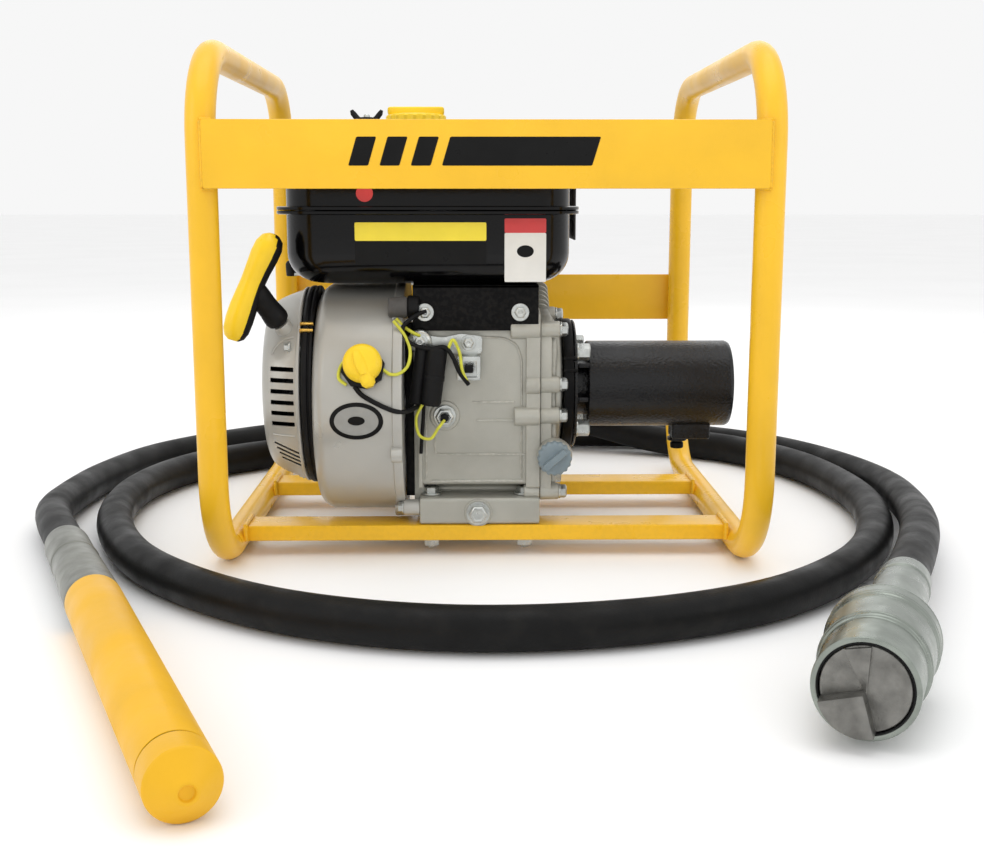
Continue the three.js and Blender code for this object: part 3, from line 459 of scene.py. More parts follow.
# ---- places shared by several pieces
CRANK_Y, CRANK_Z = -79, 131
CRANK = (0, CRANK_Y, CRANK_Z)
CYLINDER = around(CRANK, 25, "X")
SHROUD_Z, SHROUD_R = 120.5, 93
HOOP_X, TUBE_R, BEND_R = 204, 11, 65
RAIL_Y = {"front": -125, "rear": 37}
FACE_Y, PANEL = 216.8, 3
LOCK_X = 161
TANK_NECK = (-57.5, -40)
CARB_X, CARB_Y = -66, 61
LEVER_X, LEVER_LONG = -74, 20
SENSOR_X, SENSOR_Z = -33, 113
HOSE_ROUTE = [
    (228.3, -436.4, 33), (285.7, -303.7, 33), (311, -245, 32), (342, -160, 28.5), (366, -60, 22),
    (377, 50, 16), (357, 140, 15.3), (315, 223, 15.3), (252, 284, 15.3), (170, 318, 15.3),
    (80, 322, 15.3), (-10, 303, 15.3), (-110, 268, 15.3), (-205, 220, 15.3), (-280, 155, 15.3),
    (-318, 65, 15.3), (-321, -40, 15.3), (-290, -150, 15.3), (-235, -244, 15.3), (-140, -328, 15.3),
    (-30, -365, 15.3), (85, -357, 15.3), (185, -314, 15.3), (262, -238, 15.3), (313, -141, 15.3),
    (339, -10, 15.3), (320, 134, 15.3), (266, 228, 15.3), (192, 273, 18), (118, 295, 34), (40, 313, 48),
    (-45, 330, 36), (-130, 338, 18), (-240, 304, 15.3), (-335, 198, 15.3), (-370, 85, 15.3),
    (-375, -15, 16.5), (-370.4, -60.6, 18), (-358.2, -98.7, 19), (-326.5, -172.2, 19),
    (-302.8, -227.3, 19),
]
PLUG_MOUTH, PLUG_BACK = Vector((192.6, -519, 33)), Vector((275.4, -327.6, 33))
HOSE_END = Vector(HOSE_ROUTE[-1])
HEAD_START, HEAD_TIP = Vector((-324.2, -177.7, 19)), Vector((-139.2, -607, 19))


def on_crank(x):
    return (x, CRANK_Y, CRANK_Z)


def bead(points, radius=1.9, step=1.3):
    """A rippled weld bead along a polyline."""
    line = []
    for a, b in zip(points, points[1:]):
        a, b = Vector(a), Vector(b)
        count = max(2, int((b - a).length / step))
        line += [a.lerp(b, k / count) for k in range(count)]
    line.append(Vector(points[-1]))
    return sweep(line, [radius * (1 + 0.13 * sin(2.1 * i)) for i in range(len(line))], 8)


def wire(points, radius=1.3, n=8):
    return sweep(catmull(points, 6), radius, n)


# ---- hose, its coupling and its head
def make_hose():
    line = catmull(HOSE_ROUTE, 10) + [HOSE_END.lerp(HEAD_TIP, 0.065 * k) for k in range(1, 11)]
    data = bpy.data.curves.new("drive_hose", "CURVE")
    data.dimensions, data.bevel_depth, data.bevel_resolution = "3D", 15 * MM, 8
    data.use_fill_caps = True
    spline = data.splines.new("POLY")
    spline.points.add(len(line) - 1)
    for point, p in zip(spline.points, line):
        point.co = (*(p * MM), 1)
    data.materials.append(RUBBER)
    hose = add("drive_hose", data)
    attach(hose, "machine")
    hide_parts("hose")
    return hose


def make_coupling():
    way = PLUG_BACK - PLUG_MOUTH
    long = way.length
    body = lathe([(0, 25), (0, 28.5), (34, 28.6), (35, 30.3), (40, 30.9), (69, 31.2), (71, 32.4), (87, 32.4),
        (90, 31.6), (93, 23.5), (96, 22), (106, 22), (109, 20), (112, 19), (150, 18.2), (long, 17.3),
        (long, 15.6), (89.5, 15.6), (89.5, 12), (60, 12), (60, 25)], PLUG_MOUTH, way, 72, 1.3)
    lines = [lathe([(s, 28), (s, r), (s + 1.1, r + 0.35), (s + 2.2, r), (s + 2.2, 28)], PLUG_MOUTH, way, 72,
        0.3) for s, r in ((37, 30.8), (66, 31.3), (73, 32.4), (84, 32.4))]
    crimps = [lathe([(s, 15.7), (s, r + 0.5), (s + 3, r + 0.9), (s + 6, r + 0.4), (s + 6, 15.7)], PLUG_MOUTH,
        way, 48, 1) for s, r in ((116, 18.6), (186, 17.4))]
    ring = lathe([(0.4, 24.2), (-0.2, 24.8), (0.4, 25.4), (1.2, 25.4), (1.2, 24.2)],
        PLUG_MOUTH, way, 64, 0.3)
    made = piece("hose_coupling", {TURNED: [body, *lines, *crimps], PLASTIC: [ring]},
        "coupling_body", angle=28)
    face = lathe([(-0.6, 0), (0.2, 6), (1.4, 16), (0.4, 23.2), (1.6, 24.1), (40, 24.4), (40, 11), (84, 11),
        (84, 0)], PLUG_MOUTH, way, 64, 0.8)
    outward = -way.normalized()
    right = Vector(UP).cross(outward).normalized()
    axes = Matrix((right, outward.cross(right), outward)).transposed().to_4x4()
    axes.translation = PLUG_MOUTH
    arc = [(24.2 * cos(radians(a)), 24.2 * sin(radians(a))) for a in range(196, 287, 6)]
    lug = moved(prism([(0, 0), *arc], -4, 9.6, edge=1.2), axes)
    ridge = prism([(-0.6, -2), (0.6, -2), (7, 22.5), (-7, 22.5)], -4, 1.2, edge=0.5)
    ridge = moved(ridge, axes @ Matrix.Rotation(radians(12), 4, "Z"))
    dog = piece("coupling_drive_dog", {DULL: [face, lug, ridge]}, "coupling_dog", "hose_dog", angle=30)
    return made, dog


def make_head():
    way = HEAD_TIP - HEAD_START
    long = way.length
    cap = long - 31
    sleeve = lathe([(0, 15.9), (0, 16.6), (3, 17), (50, 17.1), (53, 16.6), (56, 17.2), (100, 18),
        (149, 18.9), (153, 18.9), (153, 14), (83, 14), (83, 8), (56, 8), (56, 15.9)],
        HEAD_START, way, 64, 0.9)
    band = lathe([(52, 15.9), (52, 17.45), (54.2, 17.7), (56.4, 17.45), (56.4, 15.9)],
        HEAD_START, way, 64, 0.7)
    ferrule = piece("head_collar", {CRIMPED: [sleeve, band]}, "head_ferrule", angle=28)
    tube = lathe([(153.3, 14), (153.3, 18.5), (155, 19), (cap - 1, 19), (cap - 0.8, 18.8), (cap - 0.8, 14)],
        HEAD_START, way, 72, 0.2)
    seam = lathe([(cap - 1, 14), (cap - 1, 18.4), (cap + 0.8, 18.4), (cap + 0.8, 14)],
        HEAD_START, way, 64, 0)
    barrel = piece("head_barrel", {HEAD_YELLOW: [tube], LABEL_BLACK: [seam]}, "head_tube", angle=28)
    nose = lathe([(cap + 0.6, 0), (cap + 0.6, 18.8), (cap + 0.8, 19), (long - 12, 19), (long - 11, 18.2),
        (long - 1.4, 6), (long - 1, 5), (long - 1.4, 4.2), (long - 3, 3.6), (long - 3.6, 0)],
        HEAD_START, way, 72, 0.2)
    axis = way.normalized()
    side = Vector((axis.y, -axis.x, 0))
    tools = []
    for sign in (1, -1):
        turn = Matrix((axis, side, Vector(UP))).transposed().to_4x4()
        turn.translation = HEAD_START + axis * (long - 22) + side * sign * 19.6
        tools.append(moved(box((-4.5, 4.5), (-3, 3), (-30, 30), 0.3), turn))
    point = piece("head_point", {HEAD_YELLOW: [carve(nose, tools)]}, "head_tip", angle=30)
    return ferrule, barrel, point


# ---- frame
def hoop_points(x):
    out = []
    for cy, cz, start in ((140.5, 324, 0), (-140.5, 324, 90), (-140.5, 76, 180), (140.5, 76, 270)):
        for k in range(13):
            a = radians(start + 7.5 * k)
            out.append((x, cy + BEND_R * cos(a), cz + BEND_R * sin(a)))
    return out


def make_frame():
    for side, x in (("left", -HOOP_X), ("right", HOOP_X)):
        sign = 1 if x > 0 else -1
        tube = sweep(hoop_points(x), TUBE_R, 32, loop=True)
        welds = []
        for y in RAIL_Y.values():
            edge = x - sign * 11.4
            welds.append(bead([(edge, y - 17.4, 13), (edge, y - 17.4, 25.6), (edge, y + 17.4, 25.6),
                (edge, y + 17.4, 13)]))
        welds.append(bead([(x - sign * 2.6, -216.6, 291), (x - sign * 2.6, -216.6, 337)], 1.7))
        welds.append(bead([(x - sign * 2.6, 216.6, 158), (x - sign * 2.6, 216.6, 203)], 1.7))
        for z in (290, 338):
            welds.append(bead([(x - sign * 2, -216.9, z), (x - sign * 9, -213, z)], 1.5))
        piece(f"hoop_{side}", {YELLOW: [tube, *welds]}, f"frame_hoop_{side}")
    front = sheet((-201, 201), (290, 338), (-FACE_Y - PANEL, -FACE_Y), 2, 0.8)
    stripes = [prism([(x, 306), (x + w, 306), (x + w + 6, 326), (x + 6, 326)], -220.0, -219.7, "XZ", 1.2, 0)
        for x, w in ((-98, 14), (-76, 14), (-54, 14), (-32, 106))]
    piece("panel_front", {YELLOW: [front], LABEL_BLACK: stripes}, "front_panel")
    rear = sheet((-201, 201), (157, 204), (FACE_Y, FACE_Y + PANEL), 2, 0.8)
    piece("panel_rear", {YELLOW: [rear]}, "rear_panel")
    for name, y in RAIL_Y.items():
        a, b, c, d = y - 16.5, y + 16.5, y - 13.5, y + 13.5
        channel = prism([(a, 12.5), (a, 25), (b, 25), (b, 12.5), (d, 12.5), (d, 22), (c, 22), (c, 12.5)],
            -192, 192, "YZ", 1.4, 0.5)
        piece(f"rail_{name}", {YELLOW: [channel]}, f"{name}_rail")


# ---- engine block
def make_crankcase():
    outline = [(-140, 25.3), (-140, 47), (-113, 47), (-113, 53), (-134, 57), (-134, 190), (-128, 196),
        (-100, 197), (-49, 183), (-3, 121), (-3, 47), (21, 41), (52, 41), (52, 25.3)]
    body = prism(outline, -53.5, 42.7, "YZ", 3, 1.6, 3)
    inset = [(-126, 30), (-126, 190), (-49, 180), (-3, 121), (-3, 47), (21, 41), (52, 41), (52, 30)]
    flank = prism(inset, -58, -50, "YZ", 3, 1)
    flange = [(-137, 54), (-137, 186), (-130, 195), (-120, 196), (-120, 54)]
    ribs = [prism(flange, 31.5, 42.7, "YZ", 3, 1.2), prism(flange, -54.4, -51, "YZ", 3, 1)]
    pads = [rod(r, long, (x, y, z), RIGHT, 28, 1.6) for x, long, y, z, r in ((19, 23.6, -133.5, 181, 6.8),
        (31, 11.6, -134.5, 137.4, 7.2), (22, 20.6, -134.5, 112.5, 7.6), (30, 12.6, -131, 50, 6),
        (20, 22.6, -60, 190, 7))]
    seat = lathe([(0, 0), (0, 12.5), (2.2, 11.5), (2.2, 0)], (SENSOR_X, -133.6, SENSOR_Z), FRONT, 36, 0.8)
    plug = lathe([(0, 0), (0, 11.5), (1.6, 11), (1.6, 0)], (-6.7, -139.6, 35), FRONT, 36, 0.6)
    lines = []
    for path in ([(-41, 94.6), (-41, 81.7), (34, 81.7)], [(-11, 123.9), (22, 123.9)],
            [(-7.5, 109.2), (22, 109.2)], [(-44, 60), (29, 60)], [(-8, 176), (14, 175), (24, 170), (28, 158),
            (28, 62)], [(-48, 62), (-48, 158), (-40, 168)]):
        corners = soften([(x, -134.2, z) for x, z in path], 4)
        lines.append(sweep(corners, 1.1, 8, flat=0.7))
    barrel = box((-48, 42.7), (30, 119.2), (-40, 38), 3)
    fins = [prism(ring_flat((-56, 56), (-50, 38), 9), s, s + 2.2, "XZ", edge=0.6)
        for s in range(66, 110, 8)]
    deck = prism(ring_flat((-50, 50), (-50, 38), 8), 113.2, 119.2, "XZ")
    upper = [moved(part, CYLINDER) for part in (barrel, *fins, deck)]
    # painted shade: a black block fills the see-through gap between the shroud and the crankcase, standing
    # in for the shade that falls there
    painted_shade_block = box((-64.6, -57.6), (-126, -112), (46, 186), 1)
    piece("crankcase_casting", {CASTING: [body, flank, *ribs, *pads, seat, plug, *lines, *upper],
        SATIN_BLACK: [painted_shade_block]}, "crankcase")


def ring_flat(u, v, corner, steps=6):
    return [(p.x, p.y) for p in ring_of(u, v, 0, corner, steps)]


def make_side_cover():
    outline = [(-134, 43), (-134, 172), (-124, 191), (-45, 193), (-5, 111), (-5, 43)]
    plate = prism(outline, 43, 52, "YZ", 9, 1.2)
    inner = [(-128, 49), (-128, 168), (-119, 185), (-49, 187), (-11, 109), (-11, 49)]
    raised = prism(inner, 51.5, 56, "YZ", 12, 2.4, 3)
    hub = lathe([(0, 0), (0, 51), (4.6, 51), (6.5, 46), (6.5, 0)], on_crank(55), RIGHT, 56, 1.5)
    neck = lathe([(0, 0), (0, 15), (6, 13.6), (7.4, 13.5), (7.4, 0)], (54, -132.7, 80), FRONT, 36, 0.8)
    spots = [(-128, 181), (-131, 137.4), (-131, 112.5), (-128, 50), (-64, 187), (-13, 140),
        (-10, 60), (-62, 48)]
    bosses = [lathe([(0, 0), (0, 7), (15.2, 6.6), (15.2, 0)], (43, y, z), RIGHT, 28, 1) for y, z in spots]
    bolts = bolts_at([(58.2, y, z) for y, z in spots], RIGHT, 9.5, 5, 6)
    gasket = prism([(y * 0.997 - 0.1, z) for y, z in outline], 42.6, 43.1, "YZ", 9, 0)
    piece("side_cover_casting", {CASTING: [plate, raised, hub, neck, *bosses], ZINC: bolts,
        GREY_RUBBER: [gasket]}, "side_cover")


def make_cylinder_top():
    core = box((-43, 43), (119.6, 150), (-40, 24), 2)
    fins = [prism(ring_flat((-50, 50), (-48, 26), 7), s, s + 2.2, "XZ", edge=0.6)
        for s in (119.6, 127, 134.5, 142)]
    top = prism(ring_flat((-46, 46), (-44, 26), 7), 147, 150.2, "XZ", edge=0.7)
    ports = [box((a, b), (126, 146), (20, 26.5), 1.5) for a, b in ((-34, -6), (6, 34))]
    piece("cylinder_head_casting", {CASTING: [core, *fins, top, *ports]}, "cylinder_head", turn=CYLINDER)
    cover = loft((-38, 32), (-34, 22), [(150.5, 0, 9), (153, 0, 9), (153.5, 3, 8), (174, 4, 8),
        (178, 6.5, 8), (180, 11, 7), (180.4, 18, 6)])
    bmesh.ops.rotate(cover, cent=(0, 0, 0), matrix=Matrix.Rotation(radians(-90), 3, "X"), verts=cover.verts)
    bolts = bolts_at([(x, 153, z) for z in (-17, 29) for x in (-33, 27)], BACK, 8, 4, 5)
    breather = rod(5, 16, (-20, 172, 28), (0, 0.4, 1), 20, 1)
    piece("rocker_cover_pressing", {SATIN_BLACK: [cover, breather], ZINC: bolts},
        "rocker_cover", turn=CYLINDER)
    at = (43, 132.2, 14)
    plug = lathe([(0, 0), (0, 6), (20, 6), (20, 8.6), (27, 8.6), (27, 5), (34, 4.2), (34, 0)],
        at, BACK, 24, 0.5)
    nut = lathe([(19, 0), (19, 9.2), (26, 9.2), (26, 0)], at, BACK, 6, 0.2)
    piece("spark_plug_body", {ZINC: [plug, nut]}, "spark_plug", turn=CYLINDER)
    boot = lathe([(28, 5), (28, 9), (34, 9.4), (36, 8.6), (40, 8.6), (42, 9.6), (50, 10), (56, 7), (58, 0)],
        at, BACK, 32, 1)
    lead = wire([(43, 184, 14), (36, 190, 20), (10, 184, 38), (-26, 150, 60), (-60, 116, 66),
        (-74, 96, 62)], 3.4, 10)
    piece("spark_plug_boot", {PLASTIC: [boot, lead]}, "spark_plug_cap", turn=CYLINDER)


# ---- cooling side and starter
def shroud_ring(x, inset):
    arc = [(SHROUD_R * cos(radians(a)), SHROUD_R * sin(radians(a))) for a in range(90, 311, 5)]
    rest = [(100, -34.5), (118, 20.5), (105, 70.5), (75, SHROUD_R)]
    ratio = (SHROUD_R - inset) / SHROUD_R
    outline = soften([*arc, *rest], 14, True, 4)
    return [Vector((x, CRANK_Y + p.x * ratio, SHROUD_Z + p.y * ratio)) for p in outline]


def on_shroud(x, z, out=0.0):
    r = SHROUD_R + out
    return Vector((x, CRANK_Y - sqrt(r * r - (z - SHROUD_Z) ** 2), z))


def oval(centre, across, high, out):
    """A thin oval plate lying on the shroud."""
    rings = [[on_shroud(centre[0], centre[1], out)]]
    for k, lift in ((0.5, out), (1.0, out), (1.01, -0.3)):
        rings.append([on_shroud(centre[0] + across / 2 * k * cos(2 * pi * i / 48),
            centre[1] + high / 2 * k * sin(2 * pi * i / 48), lift) for i in range(48)])
    return skin(rings, caps=False)


def make_shroud():
    levels = [(-135.2, 12), (-134.5, 8.4), (-132.5, 4.8), (-129, 1.8), (-124.5, 0), (-73, 0),
        (-72, -1.2), (-65.2, -1.2)]
    casing = skin([shroud_ring(x, inset) for x, inset in levels])
    clips = []
    for a in (200, 245):
        y, z = CRANK_Y + 95 * cos(radians(a)), SHROUD_Z + 95 * sin(radians(a))
        clips.append(rod(6, 9, (-74, y, z), RIGHT, 24, 1))
    foot = rod(6.5, 13, (-66.5, -133, 38), RIGHT, 28, 1)
    bolts = hexagon((-66.5, -133, 38), LEFT, 8, 4, 5.6)
    lip = box((-74, -65.2), (-141, -132), (176, 207), 2.5)
    piece("shroud_pressing", {SHEET: [casing, *clips, foot, lip], ZINC: bolts}, "fan_shroud")
    bush = lathe([(0, 0), (0, 8), (15, 8.4), (15, 0)], (-76.5, -139, 199.6), RIGHT, 32, 2)
    black = rod(9, 9, (-61.5, -136, 199.6), RIGHT, 32, 1.5)
    piece("shroud_bush", {GREY_RUBBER: [bush], PLASTIC: [black]})
    piece("shroud_badge", {LABEL_BLACK: [oval((-100, 115), 41, 29, 0.35), oval((-100, 115.4), 13, 7, 0.75)],
        BADGE: [oval((-100, 115), 34, 22.5, 0.55)]})
    ring = lathe([(0, 68), (0, 77), (1.4, 80.6), (3, 81.5), (5.6, 81.5), (6, 80.2), (7, 80.2), (7.4, 81.5),
        (9.5, 81.5), (9.5, 68)], on_crank(-145), RIGHT, 96, 0.5)
    rim = Matrix.Translation((0, 0, 79.6))
    clip = [moved(box((-145.6, -135), (-1.3, 1.3), (0, 3), 0.5), around(CRANK, a, "X") @ rim)
        for a in (47, 51.5)]
    piece("starter_spacer_ring", {PLASTIC: [ring], BRASS: clip}, "recoil_ring")


GRIP = Vector((-180, -152, 216.4))
ROPE_WAY = Vector((-0.49, -0.42, 0.766)).normalized()
ROPE_SEAT = GRIP - ROPE_WAY * 38.5
DOME = [(-145.3, 79.5), (-155.7, 76), (-166.5, 71.5), (-173.5, 67), (-176.6, 61), (-177.5, 52)]


def on_dome(x, z, out=0.0):
    for (x0, r0), (x1, r1) in zip(DOME, DOME[1:]):
        if x1 <= x <= x0:
            r = r0 + (r1 - r0) * (x0 - x) / (x0 - x1) + out
            return Vector((x, CRANK_Y - sqrt(max(0, r * r - (z - CRANK_Z) ** 2)), z))
    return Vector((x, CRANK_Y - 50, z))


def make_recoil():
    outer = [(x + 177.5, r) for x, r in DOME][::-1]
    inner = [(s + 2 if s < 3 else s + 0.6, r - 2.4) for s, r in outer][::-1]
    dome = lathe([(0, 6), *outer, *inner, (2, 6)], on_crank(-177.5), RIGHT, 96, 3)
    tools = []
    rear = around(CRANK, 180, "X") @ Matrix.Translation((0, -CRANK_Y, -CRANK_Z))
    for side in ("front", "rear"):
        for k in range(6):
            z = 152.4 - 8.6 * k
            slot = box((-168.5, -149.5), (-175, -110), (z - 1.8, z + 1.8), 0.5)
            tools.append(moved(slot, rear) if side == "rear" else slot)
    for k in range(4):
        slit = box((-12, 12), (-35, 35), (-0.9, 0.9), 0.2)
        tools.append(moved(slit, around((-157 + k * 1.5, -135, 88 - 4.6 * k), 24, "Y")))
    lip = sweep(catmull([on_dome(x, z, 0.2) for x, z in ((-168, 163), (-164, 170), (-157, 175),
        (-150, 176.5))], 6), 1.1, 8)
    low_lip = sweep(catmull([on_dome(x, z, 0.1) for x, z in ((-168, 100), (-160, 99.4),
        (-150, 99.4))], 5), 0.8, 8)
    rim = lathe([(29.4, 76), (29.4, 79.4), (30.6, 80.4), (32.1, 80.4), (32.1, 76)],
        on_crank(-177.5), RIGHT, 96, 0.5)
    hub = lathe([(0.3, 0), (0.3, 17), (2, 17), (2, 0)], on_crank(-177.6), RIGHT, 48, 0.7)
    spots = [(-152.5, CRANK_Y + 76 * cos(radians(a)), CRANK_Z + 76 * sin(radians(a)))
        for a in (30, 150, 270)]
    bolts = bolts_at(spots, LEFT, 6, 3.5, 4.5)
    guide = rod(7, 12.5, ROPE_SEAT - ROPE_WAY * 13, ROPE_WAY, 32, 1)
    piece("recoil_pressing", {SHEET: [carve(dome, tools), lip, low_lip, rim, hub, guide], ZINC: bolts},
        "recoil_housing")
    drum = lathe([(0, 5.5), (0, 48), (3, 48), (3, 40), (11, 40), (11, 48), (14, 48), (14, 5.5)],
        on_crank(-173.5), RIGHT, 64, 0.6)
    piece("rope_drum", {PLASTIC: [drum]}, "recoil_pulley", "starter_pulley")

    half = Vector((12, 8.5, 31))
    bow = half.cross(ROPE_WAY).cross(half).normalized()
    spots = [(-1.27, 3.5), (-1.2, 7), (-1.05, 9.3), (-0.8, 10.1), (-0.5, 10), (-0.2, 9.3), (0.1, 8.8),
        (0.4, 9.3), (0.75, 10.3), (1.0, 10.2), (1.18, 8), (1.27, 4)]
    grip = sweep([GRIP + half * t + bow * (1.2 - 1.6 * t * t) for t, _ in spots], [r for _, r in spots], 32)
    core = sweep([GRIP + half * t - ROPE_WAY * 0.5 + Vector((1.1, 0.8, 0)) + bow * (1.2 - 1.6 * t * t)
        for t, _ in spots], [r - 0.25 for _, r in spots], 32)
    stem = sweep([GRIP - ROPE_WAY * d for d in (3, 6, 12, 18, 24, 29, 33, 36, 37.8, 38.4)],
        [7.5, 9, 9, 8.6, 8.8, 9.4, 9.6, 8.8, 6.8, 3.5], 32)
    piece("starter_grip_handle", {YELLOW_PLASTIC: [grip], PLASTIC: [core, stem]},
        "starter_handle", "starter_grip")


# ---- tank, intake and exhaust
def make_tank():
    x, y = (-164, 73), (-152, 38)
    lower = [(217 + 24 * (1 - cos(radians(a))), 7 + 24 * (1 - sin(radians(a))), 22 + 10 * sin(radians(a)))
        for a in range(0, 91, 9)]
    lower += [(270.6, 7, 32), (271, 6.4, 32), (271, 0.8, 34), (271.4, 0, 34), (273.4, 0, 34),
        (273.7, 0.4, 34)]
    well = loft(x, y, [(217, 33, 20), *lower])
    under = [sweep([(a, -128, 222), (a, 14, 222)], 4, 12, flat=0.5) for a in (-110, 20)]
    blocks = [(LABEL_YELLOW, (-101, 0), (251, 265)), (LABEL_BLACK, (-101, 0), (233, 250.4)),
        (LABEL_WHITE, (14, 46), (219.5, 257)), (LABEL_RED, (14, 46), (257, 268))]
    groups = {GLOSS: [well, *under]}
    for material, across, up in blocks:
        groups[material] = [sheet(across, up, (-145.35, -144.6), 1.2, 0)]
    groups[LABEL_BLACK].append(oval_flat((30, -145.5, 243), 6.5, 4.6))
    piece("tank_pressing_lower", groups, "fuel_tank_lower")
    levels = [(274.3, 0.4, 34), (274.6, 0, 34), (276.6, 0, 34), (277, 0.8, 34),
        (277, 6.4, 32), (277.4, 7, 32)]
    crown = loft(x, y, [*levels, *shoulder(304, 7, 26, (32, 8), 9), (330.4, 50, 22), (330.6, 80, 12)])
    neck = lathe([(0, 0), (0, 24), (3, 24), (4, 20), (9, 20), (9, 0)], (*TANK_NECK, 329), UP, 48, 1)
    dot = oval_flat((-93, -145.3, 287), 6.5, 6.5)
    piece("tank_pressing_upper", {GLOSS: [crown, neck], LABEL_RED: [dot]}, "fuel_tank_upper")
    levels = [(331.5, 23.4, 0), (332, 24.6, 0.5), (350, 24.6, 0.5), (351.4, 23.6, 0.2), (352, 21, 0)]
    knob = knurled("XY", *TANK_NECK, levels, 20, 160)
    grip = box((-81, -34), (-46, -34), (351, 358), 2.6, 3)
    piece("tank_filler_cap", {YELLOW_PLASTIC: [knob, grip]}, "fuel_cap", "tank_cap")
    plate = box((-57.5, 41), (-138, -135), (181, 216.6), 0.8)
    shelf = box((-57.5, 41), (-138, -25), (213.8, 216.6), 0.8)
    cheeks = [box((a, a + 2.4), (-136, -96), (196, 215), 0.6) for a in (-57.5, 38.6)]
    bolts = bolts_at([(a, -137.8, 195.5) for a in (-48, 26.5)], FRONT, 8, 4.6, 7)
    piece("tank_bracket_pressing", {SATIN_BLACK: [plate, shelf, *cheeks], ZINC: bolts}, "tank_bracket")


def oval_flat(centre, half_x, half_z, thick=0.3):
    x, y, z = centre
    rings = [[Vector((x + half_x * cos(2 * pi * k / 32), y + d, z + half_z * sin(2 * pi * k / 32)))
        for k in range(32)] for d in (thick, 0)]
    return skin(rings)


